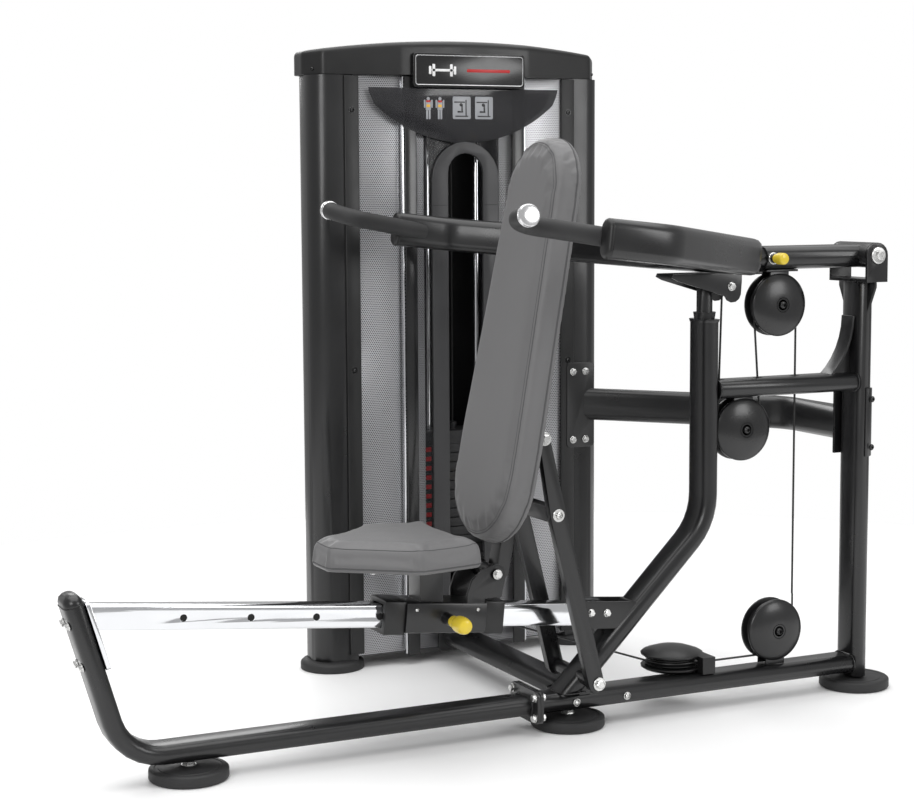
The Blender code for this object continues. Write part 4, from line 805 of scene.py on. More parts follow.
@dataclass
class Chassis:
    """The fixed frame: base, posts, cross tube, tower beam, feet and their fasteners."""

    finishes: Finishes
    coated: tuple = (
        "front_base_tube",
        "rear_base_tube",
        "middle_post",
        "rear_upright",
        "cross_tube",
        "pivot_bracket",
        "tower_beam",
        "beam_clamp_plate",
        "tower_tie_tube",
    )
    feet: tuple = (
        ("front_foot", -0.893, 0.041),
        ("middle_foot", 0.0, 0.041),
        ("rear_foot", 0.792, 0.031),
    )

    def build(self) -> None:
        """Builds the feet and every bolt, and dresses the tubes."""
        dress(self.coated, self.finishes.coat)
        dress(("pivot_pin",), self.finishes.zinc, 0.0006)
        dress(("seat_rail",), self.finishes.chrome, 0.0008)
        for name, x, top in self.feet:
            self.build_foot(name, x, top)
        self.build_flange_bolts()
        self.build_side_bolts()
        self.build_end_cap_seam()
        self.build_welds()
        self.build_rail_liners()

    def build_foot(self, name: str, x: float, top: float) -> None:
        """Builds one rubber-faced foot with its stud.

        Args:
            name: The frame node it stands for.
            x: Where the foot stands.
            top: Height of the stud's top.
        """
        foot = Piece(name + "_pad")
        profile = [
            (0.0, 0.0006), (0.070, 0.0006), (0.0785, 0.0), (0.0815, 0.0012), (0.0835, 0.0045),
            (0.0835, 0.0185), (0.0828, 0.0220), (0.0805, 0.0240), (0.0770, 0.0250), (0.0715, 0.0250),
            (0.0700, 0.0238), (0.0640, 0.0238), (0.0625, 0.0250), (0.0300, 0.0262), (0.0220, 0.0268),
            (0.0190, 0.0282), (0, 0.0282),
        ]
        foot.lathe(profile, (x, 0, 0), Z_AXIS, 96)
        foot.finish(self.finishes.foot, "frame", Slot.RUBBER, (name,))
        stud = Piece(name + "_stud")
        stud.puck(0.0085, 0.026, top - 0.0004, (x, 0, 0), Z_AXIS, 32)
        base = min(0.0285, top - 0.006)
        stud.puck(0.016, base, base + 0.0012, (x, 0, 0), Z_AXIS, 40)
        nut_top = min(base + 0.0085, top - 0.0008)
        nut = [
            (0, base + 0.0012), (0.0135, base + 0.0012), (0.0135, nut_top - 0.0008), (0.012, nut_top),
            (0, nut_top),
        ]
        stud.lathe(nut, (x, 0, 0), Z_AXIS, 6)
        stud.finish(self.finishes.zinc, "frame", Slot.ZINC)

    def build_flange_bolts(self) -> None:
        """Bolts through the flanges that join the two halves of the base."""
        bolts = Piece("base_flange_bolts")
        for y in (-0.054, 0.054):
            for z in (0.042, 0.088):
                for x, side in ((-0.1121, -1), (-0.0959, 1)):
                    bolts.fastener((x, y, z), (side, 0, 0), 0.0150, Drive.HEX, 0.0200)
        bolts.finish(self.finishes.zinc, "frame", Slot.ZINC)
        joint = Piece("base_flange_seam")
        shape = rectangle(0.1305, 0.0725, 0.0135)
        joint.slab(shape, 0.0008, aimed((-0.1044, 0, 0.065), (1, 0, 0), (0, 1, 0)), 0.0001)
        joint.finish(self.finishes.shadow, "frame", Slot.FRAME)

    def build_side_bolts(self) -> None:
        """Bolts on the tubes' sides, the rail's brackets, the beam and the pivot."""
        bolts = Piece("frame_side_bolts")
        for x in (0.0, 0.13):
            bolts.fastener((x, -0.0421, 0.062), TOWARDS_USER_RIGHT, 0.0150, Drive.SOCKET, 0.0180)
        for x, z in ((0.042, 0.260), (0.083, 0.256)):
            for side in (-1, 1):
                bolts.fastener((x, side * 0.0316, z), (0, side, 0), 0.0140, Drive.HEX, 0.0180)
        for z in (0.728, 0.549):
            for x in (0.4250, 0.3880):
                bolts.fastener((x, 0.6816, z), TOWARDS_USER_RIGHT, 0.0140, Drive.HEX, 0.0190)
        for x in (0.0, 0.090):
            bolts.fastener((x, 0.6679, 0.088), TOWARDS_USER_RIGHT, 0.0120, Drive.HEX, 0.0160)
        for side in (-1, 1):
            bolts.fastener((0.785, side * 0.0799, 1.047), (0, side, 0), 0.0190, Drive.HEX, 0.0)
        bolts.finish(self.finishes.zinc, "frame", Slot.ZINC)
        clamps = Piece("clamp_bolts")
        for z in (0.705, 0.590):
            clamps.fastener((0.7960, -0.0469, z), TOWARDS_USER_RIGHT, 0.0120, Drive.SOCKET, 0.0150)
        clamps.finish(self.finishes.gloss, "frame", Slot.FRAME)
        outwards = Vector((-FRONT_LEAN.z, 0.0, FRONT_LEAN.x))
        heads = Piece("rail_front_bolts")
        for z in (0.355, 0.268):
            for y in (-0.019, 0.019):
                middle = FRONT_TOP + Y_AXIS * y - FRONT_LEAN * (FRONT_TOP.z - z) / FRONT_LEAN.z
                heads.fastener(middle + outwards * 0.0211, outwards, 0.0140, Drive.HEX, 0.0190)
        heads.finish(self.finishes.zinc, "frame", Slot.ZINC)

    def build_end_cap_seam(self) -> None:
        """The joint line under the front tube's plastic end cap."""
        seam = Piece("front_cap_seam")
        place = aimed(FRONT_TOP - FRONT_LEAN * 0.0016, FRONT_LEAN, Y_AXIS)
        loop = [place @ Vector((x, y, 0)) for x, y in stadium(0.0842, 0.0422, 24)]
        seam.ring(loop, 0.0007)
        seam.finish(self.finishes.shadow, "frame", Slot.FRAME)

    def build_welds(self) -> None:
        """Weld beads where tubes meet."""
        welds = Piece("frame_weld_beads")
        joints = ((-0.1125, 0.062), (-0.0955, 0.062), (0.3765, 0.746), (0.7625, 0.746), (0.7625, 0.062))
        for x, z in joints:
            place = aimed((x, 0, z), (1, 0, 0), Y_AXIS)
            shape = stadium(0.0844, 0.0424, 40)
            loop = [place @ Vector((x, y, 0.0005 * math.sin(i * 2.2))) for i, (x, y) in enumerate(shape)]
            welds.ring(loop, 0.0022, 6)
        post_foot = [Vector((x - 0.0035, y, 0.0836)) for x, y in rectangle(0.068, 0.088, 0.02, 10)]
        welds.ring(post_foot, 0.0022, 6)
        welds.finish(self.finishes.coat, "frame", Slot.FRAME, sharp=60)

    def build_rail_liners(self) -> None:
        """Bores of the seat rail's locating holes, painted near-black as painted shade inside them."""
        liners = Piece("rail_hole_bores")
        for step in range(5):
            mouth = on_rail(-0.325 - 0.145 * step, -0.0249)
            profile = [(0.0076, 0.0), (0.0070, 0.0002), (0.0066, 0.006), (0, 0.006)]
            liners.lathe(profile, mouth, (0, 1, 0), 36)
        # painted shade: the bores take the near-black finish
        liners.finish(self.finishes.shadow, "frame", Slot.CHROME)


# ---------------------------------------------------------------- pulleys
@dataclass(frozen=True)
class Wheel:
    """One grooved wheel of the cable run."""

    name: str
    centre: tuple
    axis: tuple
    radius: float = 0.064
    body: str = "frame"


@dataclass
class CableRun:
    """The pulleys, their covers and the cable."""

    finishes: Finishes
    facets: int = 84
    wheels: tuple = (
        Wheel("arm_pulley", (0.548, 0, 0.936), (0, 1, 0), 0.064, "arm_wheel"),
        Wheel("mid_pulley", (0.452, 0, 0.650), (0, 1, 0), 0.064, "mid_wheel"),
        Wheel("low_pulley", (0.549, 0, 0.1655), (0, 1, 0), 0.064, "low_wheel"),
        Wheel("floor_pulley", (0.31, 0.059, 0.1065), (0, 0, 1), 0.064, "floor_wheel"),
    )

    strands: tuple = (
        ("cable_riser", "frame", "press_arm", (0.607, 0, 0.2453), (0.607, 0, 0.9357)),
        ("cable_drop", "frame", "press_arm", (0.511, 0, 0.6506), (0.489, 0, 0.9354)),
        ("cable_lift", "frame", "press_arm", (0.393, 0, 0.6506), (0.402, 0, 0.973)),
        ("cable_stack", "lifted_stack", "frame", (0.072, 0.755, 0.6083), (0.072, 0.755, 1.3894)),
    )

    def build_strand(self, name: str, low_body: str, high_body: str, low: tuple, high: tuple) -> None:
        """Builds a straight stretch of cable between two points.

        Args:
            name: The frame node it stands for.
            low_body: The body at its low end; not used.
            high_body: The body at its high end; not used.
            low: Its low end.
            high: Its high end.
        """
        strand = Piece(name + "_strand")
        path = [Vector(low).lerp(Vector(high), step / 40) for step in range(41)]
        strand.tube(path, 0.0025, (1, 0, 0), 16)
        made = strand.finish(self.finishes.cable, None, Slot.CABLE, (name,))
        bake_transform(made)

    def build(self) -> None:
        """Builds the wheels and covers and dresses the cable."""
        dress(("cable_low_run", "cable_over_arm", "cable_mid_turn"), self.finishes.cable, 0.0003)
        for strand in self.strands:
            self.build_strand(*strand)
        hidden = ("tower_top_pulley", "tower_low_pulley", "floor_pulley_guard")
        dress(hidden, self.finishes.plastic, 0.0007)
        for wheel in self.wheels:
            self.build_wheel(wheel)
        for wheel, body in zip(self.wheels[:3], ("press_arm", "frame", "frame")):
            self.build_cover(wheel, body)

    def build_wheel(self, wheel: Wheel) -> None:
        """Turns one wheel with a rounded groove and recessed faces."""
        r, groove = wheel.radius, wheel.radius - 0.0089
        half = [
            (0.0064, 0.008), (0.016, 0.008), (0.018, 0.0062), (r - 0.014, 0.0062), (r - 0.0125, 0.008),
            (r - 0.0008, 0.008), (r, 0.0072), (r, 0.0060), (groove + 0.002, 0.0028), (groove, 0.0010),
        ]
        profile = half + [(radius, -height) for radius, height in reversed(half)] + [half[0]]
        made = Piece(wheel.name + "_wheel")
        place = facing(wheel.centre, wheel.axis)
        rings = []
        for radius, height in profile[:-1]:
            points = (place @ Vector((x, y, height)) for x, y in circle(radius, self.facets))
            rings.append([made.bm.verts.new(point) for point in points])
        for low, high in zip(rings, rings[1:] + rings[:1]):
            for i in range(self.facets):
                j = (i + 1) % self.facets
                made.bm.faces.new((low[i], low[j], high[j], high[i]))
        made.finish(self.finishes.plastic, wheel.body, Slot.PLASTIC, (wheel.name,))

    def build_cover(self, wheel: Wheel, body: str) -> None:
        """Builds the two domed covers of a pulley, their tabs, axle and centre bolts."""
        x, _, z = wheel.centre
        cover = Piece(wheel.name + "_covers")
        dome = [
            (0.0, 0.0125), (0.0720, 0.0125), (0.0733, 0.0130), (0.0735, 0.0150), (0.0732, 0.0172),
            (0.0722, 0.0188), (0.0700, 0.0205), (0.0655, 0.0232), (0.0585, 0.0262), (0.0495, 0.0290),
            (0.0390, 0.0313), (0.0290, 0.0328), (0.0205, 0.0336), (0.0180, 0.0336), (0.0172, 0.0322),
            (0.0105, 0.0322), (0.0, 0.0322),
        ]
        for side in (-1, 1):
            cover.lathe(dome, wheel.centre, (0, side, 0), 96)
        cover.finish(self.finishes.coat, body, Slot.PLASTIC, (wheel.name + "_guard",))
        tabs = Piece(wheel.name + "_tabs")
        spans = {
            "arm_pulley": (z + 0.030, 1.0175),
            "mid_pulley": (z + 0.030, 0.7245),
            "low_pulley": (0.0836, z - 0.030),
        }
        low, high = spans[wheel.name]
        for side in (-1, 1):
            ends = sorted((side * 0.0140, side * 0.0185))
            tabs.block((x - 0.026, ends[0], low), (x + 0.026, ends[1], high), 0.001)
        if body == "press_arm":
            tabs.block((x - 0.040, -0.024, 1.0127), (x + 0.048, 0.024, 1.0175), 0.0012)
        tabs.puck(0.006, -0.0125, 0.0125, wheel.centre, wheel.axis, 32)
        tabs.finish(self.finishes.coat, body, Slot.FRAME)
        bolts = Piece(wheel.name + "_axle_bolts")
        for side in (-1, 1):
            seat = Vector(wheel.centre) + Vector((0, side * 0.0322, 0))
            collar = [(0.0168, 0), (0.0160, 0.0012), (0.0125, 0.0012), (0.0120, 0), (0, 0)]
            bolts.lathe(collar, seat, (0, side, 0), 48)
            bolts.fastener(seat + Vector((0, side * 0.0004, 0)), (0, side, 0), 0.0180, Drive.SOCKET)
        bolts.finish(self.finishes.gloss, body, Slot.PLASTIC)


# ---------------------------------------------------------------- press arm
FLAT = (
    Matrix.Translation((0.355, 0, 1.055))
    @ Matrix.Rotation(math.radians(6.0), 4, "Y")
    @ Matrix.Translation((-0.355, 0, 0))
)


@dataclass
class PressArm:
    """The pivoting arm, the sliding yoke with its handles, and the arm's locking pin."""

    finishes: Finishes
    pin: tuple = (0.512, 0, 1.045)

    def build(self) -> None:
        """Builds the yoke's finer parts, handles and pin."""
        dress(("arm_sleeve", "cable_anchor_bracket"), self.finishes.coat)
        dress(("press_yoke",), self.finishes.coat)
        for side, name in ((1, "left_handle"), (-1, "right_handle")):
            self.build_handle(name, side)
            self.build_yoke_cap(name, side)
        self.build_pin()
        self.build_bolts()

    def build_handle(self, name: str, side: int) -> None:
        """Builds a bent rubber grip and its turned end cap."""
        foot = Vector((-0.125, side * 0.499, 1.1052))
        bend = Vector((-0.362, side * 0.415, 1.146))
        end = Vector((-0.362, side * 0.500, 1.158))
        path = rounded([foot, bend, end], 0.045, 20)
        grip = Piece(name + "_grip")
        grip.tube(path, 0.0195, (0, 0, 1), 48)
        grip.finish(self.finishes.grip, "yoke", Slot.RUBBER, (name,))
        tip, heading = path[-1], (path[-1] - path[-2]).normalized()
        cap = Piece(name + "_cap")
        profile = [
            (0, -0.001), (0.0205, -0.001), (0.0217, 0.0), (0.0222, 0.0010), (0.0222, 0.0036),
            (0.0212, 0.0042), (0.0212, 0.0054), (0.0222, 0.0060), (0.0222, 0.0102), (0.0210, 0.0124),
            (0.0190, 0.0134), (0.0120, 0.0138), (0.0112, 0.0128), (0, 0.0128),
        ]
        cap.lathe(profile, tip, heading, 72)
        cap.finish(self.finishes.aluminium, "yoke", Slot.ZINC)

    def build_yoke_cap(self, name: str, side: int) -> None:
        """Builds the domed plastic plug in one end of the yoke."""
        heading = FLAT.to_3x3() @ Vector((-1, 0, 0))
        end = FLAT @ Vector((-0.19, side * 0.507, 0))
        place = aimed(end, heading, FLAT.to_3x3() @ Vector((0, 0, 1)))
        plug = Piece(name + "_yoke_plug")
        levels = [
            (0.0, 0.001), (0.0008, 0.0002), (0.004, 0.0), (0.0072, 0.0016), (0.0098, 0.0048),
            (0.0112, 0.0100), (0.0116, 0.0165),
        ]
        plug.tiers(stadium(0.0802, 0.0402, 20), levels, place)
        plug.finish(self.finishes.plastic, "yoke", Slot.PLASTIC)

    def build_pin(self) -> None:
        """Builds the arm's spring pin."""
        knob = Piece("arm_pin_knob")
        profile = [
            (0, 0.0548), (0.0095, 0.0548), (0.0100, 0.0553), (0.0100, 0.0635), (0.0092, 0.0645),
            (0.0122, 0.0655), (0.0134, 0.0672), (0.0135, 0.0700), (0.0135, 0.0835), (0.0131, 0.0868),
            (0.0120, 0.0890), (0.0100, 0.0903), (0, 0.0905),
        ]
        knob.lathe(profile, self.pin, TOWARDS_USER_RIGHT, 56)
        knob.finish(self.finishes.yellow, "arm_lock", Slot.YELLOW, ("arm_pin",))
        shank = Piece("arm_pin_shank")
        profile = [(0, 0.0387), (0.0038, 0.0387), (0.0045, 0.0397), (0.0045, 0.0560), (0, 0.0560)]
        shank.lathe(profile, self.pin, TOWARDS_USER_RIGHT, 32)
        shank.finish(self.finishes.chrome, "arm_lock", Slot.CHROME)
        collar = Piece("arm_pin_collar")
        rim = [
            (0.0112, 0.0425), (0.0132, 0.0425), (0.0138, 0.0433), (0.0138, 0.0470), (0.0130, 0.0478),
            (0.0112, 0.0478),
        ]
        collar.lathe(rim, self.pin, TOWARDS_USER_RIGHT, 56)
        collar.finish(self.finishes.zinc, "press_arm", Slot.ZINC)

    def build_bolts(self) -> None:
        """The cable anchor's bolt heads."""
        bolts = Piece("cable_anchor_bolts")
        for side in (-1, 1):
            bolts.fastener((0.404, side * 0.0371, 0.983), (0, side, 0), 0.0150, Drive.HEX, 0.0200)
        bolts.finish(self.finishes.zinc, "press_arm", Slot.ZINC)


# ---------------------------------------------------------------- seat, back and recline link
BACK = Matrix.Translation((-0.203, 0.0, 0.374)) @ Matrix.Rotation(math.radians(11), 4, "Y")


@dataclass
class SeatAndBack:
    """The carriage, both pads, the back's frame and the link that reclines it."""

    finishes: Finishes

    def build(self) -> None:
        """Builds the pads, pin and bolts and dresses the metalwork."""
        dress(("seat_carriage", "backrest_frame"), self.finishes.coat)
        dress(("recline_strut",), self.finishes.coat, 0.0045)
        dress(("carriage_guide_front", "carriage_guide_rear"), self.finishes.plastic, 0.0012)
        levels = [
            (0.4120, 0.007), (0.4132, 0.0035), (0.4165, 0.001), (0.4230, 0.0), (0.4490, 0.0),
            (0.4570, 0.0012), (0.4625, 0.0042), (0.4662, 0.0090), (0.4685, 0.0150), (0.4695, 0.0200),
        ]
        seat = self.build_pad("seat_pad", "carriage", self.seat_outline(), levels, Matrix.Identity(4))
        self.build_seat_seams(seat)
        stand = Matrix(((0, 0, -1, 0), (-1, 0, 0, 0), (0, 1, 0, 0), (0, 0, 0, 1)))
        levels = [
            (-0.0080, 0.006), (-0.0065, 0.0025), (-0.0030, 0.0004), (0.0040, 0.0), (0.0330, 0.0),
            (0.0410, 0.0015), (0.0465, 0.0050), (0.0505, 0.0105), (0.0530, 0.0180), (0.0545, 0.0270),
        ]
        back = self.build_pad("backrest_pad", "backrest", self.back_outline(), levels, BACK @ stand)
        self.build_back_seams(back)
        self.build_pin()
        self.build_bolts()

    def build_pad(
        self, node: str, body: str, outline: Outline, levels: Outline, place: Matrix
    ) -> bpy.types.Object:
        """Shapes a foam block and puffs up its cover with a cloth pass.

        Args:
            node: The frame node.
            body: The body it rides on.
            outline: The pad's outline in its own place.
            levels: Height and inset of the block's tiers, board first.
            place: The pad's place, local Z towards the user.

        Returns:
            The pad.
        """
        shell = Piece(node + "_shell")
        shell.tiers(outline, levels, place)
        bmesh.ops.recalc_face_normals(shell.bm, faces=shell.bm.faces)
        mesh = bpy.data.meshes.new(node + "_cushion")
        shell.bm.to_mesh(mesh)
        shell.bm.free()
        pad = bpy.data.objects.new(node + "_cushion", mesh)
        bpy.context.scene.collection.objects.link(pad)
        remesh = pad.modifiers.new("even_faces", "REMESH")
        remesh.mode = "VOXEL"
        remesh.voxel_size = 0.0055
        self.apply(pad)
        outwards = (place.to_3x3() @ Z_AXIS).normalized()
        self.puff(pad, outwards, (place @ Vector((0, 0, levels[0][0]))).dot(outwards))
        smooth = pad.modifiers.new("smooth", "SMOOTH")
        smooth.iterations = 2
        self.apply(pad)
        refine = pad.modifiers.new("refine", "SUBSURF")
        refine.levels = refine.render_levels = 1
        self.apply(pad)
        pad.data.materials.clear()
        pad.data.materials.append(self.finishes.vinyl)
        pad.data.shade_smooth()
        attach(pad, body)
        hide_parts(node)
        LOG.info("%s: %d faces", pad.name, len(pad.data.polygons))
        return pad

    @staticmethod
    def seat_outline() -> list[Pair]:
        """The seat seen from above."""
        near = [(-0.281, -0.145), (-0.435, -0.172), (-0.600, -0.045)]
        corners = near + [(x, -y) for x, y in reversed(near)]
        return softened(corners, 0.020, 10)

    @staticmethod
    def back_outline() -> list[Pair]:
        """The back seen from the user's side: across, and upwards from the hinge."""
        low, high, upper, lower = 0.062, 0.958, 0.125, 0.150
        outline = arc((0, high - upper), upper, 0, 180, 32) + [(-lower, low + 0.230)]
        return outline + arc((0, low + lower), lower, 185, 355, 32) + [(lower, low + 0.230)]

    def puff(self, pad: bpy.types.Object, outwards: Vector, base: float) -> None:
        """Runs the cloth pass with the backing board held still, and caps how far the cover moves."""
        rest = [vertex.co.copy() for vertex in pad.data.vertices]
        board = pad.vertex_groups.new(name="board")
        held = [i for i, point in enumerate(rest) if point.dot(outwards) < base + 0.007]
        board.add(held, 1.0, "REPLACE")
        cloth = pad.modifiers.new("cover", "CLOTH")
        cloth.settings.vertex_group_mass = "board"
        cloth.settings.use_pressure = True
        cloth.settings.uniform_pressure_force = 4.0
        cloth.settings.effector_weights.gravity = 0.0
        cloth.settings.tension_stiffness = 18.0
        cloth.settings.compression_stiffness = 18.0
        cloth.settings.bending_stiffness = 0.6
        cloth.point_cache.frame_start = 1
        cloth.point_cache.frame_end = 20
        scene = bpy.context.scene
        for step in range(1, 21):
            scene.frame_set(step)
        self.apply(pad)
        scene.frame_set(1)
        for vertex, start in zip(pad.data.vertices, rest):
            move = vertex.co - start
            if move.length > 0.006:
                vertex.co = start + move.normalized() * 0.006

    @staticmethod
    def apply(thing: bpy.types.Object) -> None:
        """Replaces an object's mesh by what its modifiers make of it."""
        graph = bpy.context.evaluated_depsgraph_get()
        made = bpy.data.meshes.new_from_object(thing.evaluated_get(graph))
        thing.modifiers.clear()
        thing.data = made

    @staticmethod
    def drape(
        pad: bpy.types.Object, points: Iterable[tuple[Vector, Vector]], sink: float
    ) -> list[Vector]:
        """Drops points onto a pad's surface.

        Args:
            pad: The pad.
            points: Starting points outside it, each with the direction to drop in.
            sink: How far below the surface they end.

        Returns:
            The points that hit.
        """
        tree = BVHTree.FromPolygons(
            [vertex.co for vertex in pad.data.vertices],
            [polygon.vertices for polygon in pad.data.polygons],
        )
        hits = []
        for start, heading in points:
            hit = tree.ray_cast(start, heading, 0.3)[0]
            if hit is not None:
                hits.append(hit + heading * sink)
        return hits

    def seam(
        self, pad: bpy.types.Object, name: str, starts: list, body: str, radius: float = 0.0011
    ) -> None:
        """A sewn line of thread round a pad."""
        loop = self.drape(pad, starts, 0.0002)
        if len(loop) > 12:
            bead = Piece(name)
            bead.ring(loop, radius, 8)
            bead.finish(self.finishes.thread, body, Slot.VINYL, sharp=80)

    def build_seat_seams(self, pad: bpy.types.Object) -> None:
        """The seat's top perimeter seam and its lower edge's piping."""
        outline = self.seat_outline()
        dense = even(outline, 240)
        down = Vector((0, 0, -1))
        starts = [(Vector((x, y, 0.55)), down) for x, y in inset(dense, 0.0125)]
        self.seam(pad, "seat_top_seam", starts, "carriage")
        middle = Vector((-0.42, 0.0, 0.0))
        lower = []
        for x, y in inset(dense, -0.05):
            start = Vector((x, y, 0.4215))
            lower.append((start, (middle + Vector((0, 0, 0.4215)) - start).normalized()))
        self.seam(pad, "seat_lower_piping", lower, "carriage", 0.0019)

    def build_back_seams(self, pad: bpy.types.Object) -> None:
        """The back's front panel seam and its rear edge's piping."""
        outline = self.back_outline()
        dense = even(outline, 320)
        rear = (BACK.to_3x3() @ Vector((1, 0, 0))).normalized()
        starts = [(BACK @ Vector((-0.12, -u, v)), rear) for u, v in inset(dense, 0.0165)]
        self.seam(pad, "back_front_seam", starts, "backrest")
        inner = [(BACK @ Vector((-0.12, -u, v)), rear) for u, v in inset(dense, 0.0215)]
        self.seam(pad, "back_front_stitches", inner, "backrest", 0.0006)
        sides = []
        for (u, v), (iu, iv) in zip(inset(dense, -0.05), inset(dense, 0.03)):
            start, goal = BACK @ Vector((-0.004, -u, v)), BACK @ Vector((-0.004, -iu, iv))
            sides.append((start, (goal - start).normalized()))
        self.seam(pad, "back_rear_piping", sides, "backrest", 0.0018)

    def build_pin(self) -> None:
        """Builds the seat's spring pin with its round knob."""
        middle = on_rail(-0.325)
        knob = Piece("seat_pin_knob")
        profile = [
            (0, 0.0847), (0.0122, 0.0847), (0.0128, 0.0853), (0.0128, 0.0975), (0.0121, 0.0985),
            (0.0104, 0.0992), (0.0103, 0.1015), (0.0126, 0.1030), (0.0155, 0.1055), (0.0175, 0.1100),
            (0.0185, 0.1165), (0.0187, 0.1240), (0.0183, 0.1330), (0.0172, 0.1405), (0.0148, 0.1462),
            (0.0105, 0.1490), (0, 0.1498),
        ]
        knob.lathe(profile, middle, TOWARDS_USER_RIGHT, 72)
        knob.finish(self.finishes.yellow, "seat_lock", Slot.YELLOW, ("seat_pin",))
        shank = Piece("seat_pin_shank")
        profile = [(0, 0.0258), (0.0038, 0.0258), (0.0045, 0.0268), (0.0045, 0.0860), (0, 0.0860)]
        shank.lathe(profile, middle, TOWARDS_USER_RIGHT, 32)
        shank.finish(self.finishes.chrome, "seat_lock", Slot.CHROME)

    def build_bolts(self) -> None:
        """The bolts of the seat bracket, hinge and recline link."""
        link = Piece("link_bolts")
        for side in (-1, 1):
            for x, z in ((0.022, 0.116), (-0.114, 0.672)):
                link.fastener((x, side * 0.1052, z), (0, side, 0), 0.0180, Drive.HEX, 0.0300)
            link.fastener((-0.080, side * 0.1042, 0.502), (0, side, 0), 0.0170, Drive.SOCKET, 0.0280)
        link.finish(self.finishes.zinc, "strut", Slot.ZINC)
        hinge = Piece("hinge_bolts")
        for side in (-1, 1):
            hinge.fastener((-0.203, side * 0.0526, 0.374), (0, side, 0), 0.0160, Drive.HEX, 0.0220)
        hinge.finish(self.finishes.zinc, "backrest", Slot.ZINC)
        under = Piece("seat_bracket_bolts")
        for x in (-0.495, -0.322):
            for y in (-0.046, 0.046):
                under.fastener((x, y, 0.4056), (0, 0, -1), 0.0110, Drive.HEX, 0.0150)
        for x in (-0.395, -0.250):
            under.fastener(on_rail(x, -0.0481, 0.018), TOWARDS_USER_RIGHT, 0.0090, Drive.SOCKET)
        under.finish(self.finishes.zinc, "carriage", Slot.ZINC)


# ---------------------------------------------------------------- weight tower
MIDDLE = 0.072


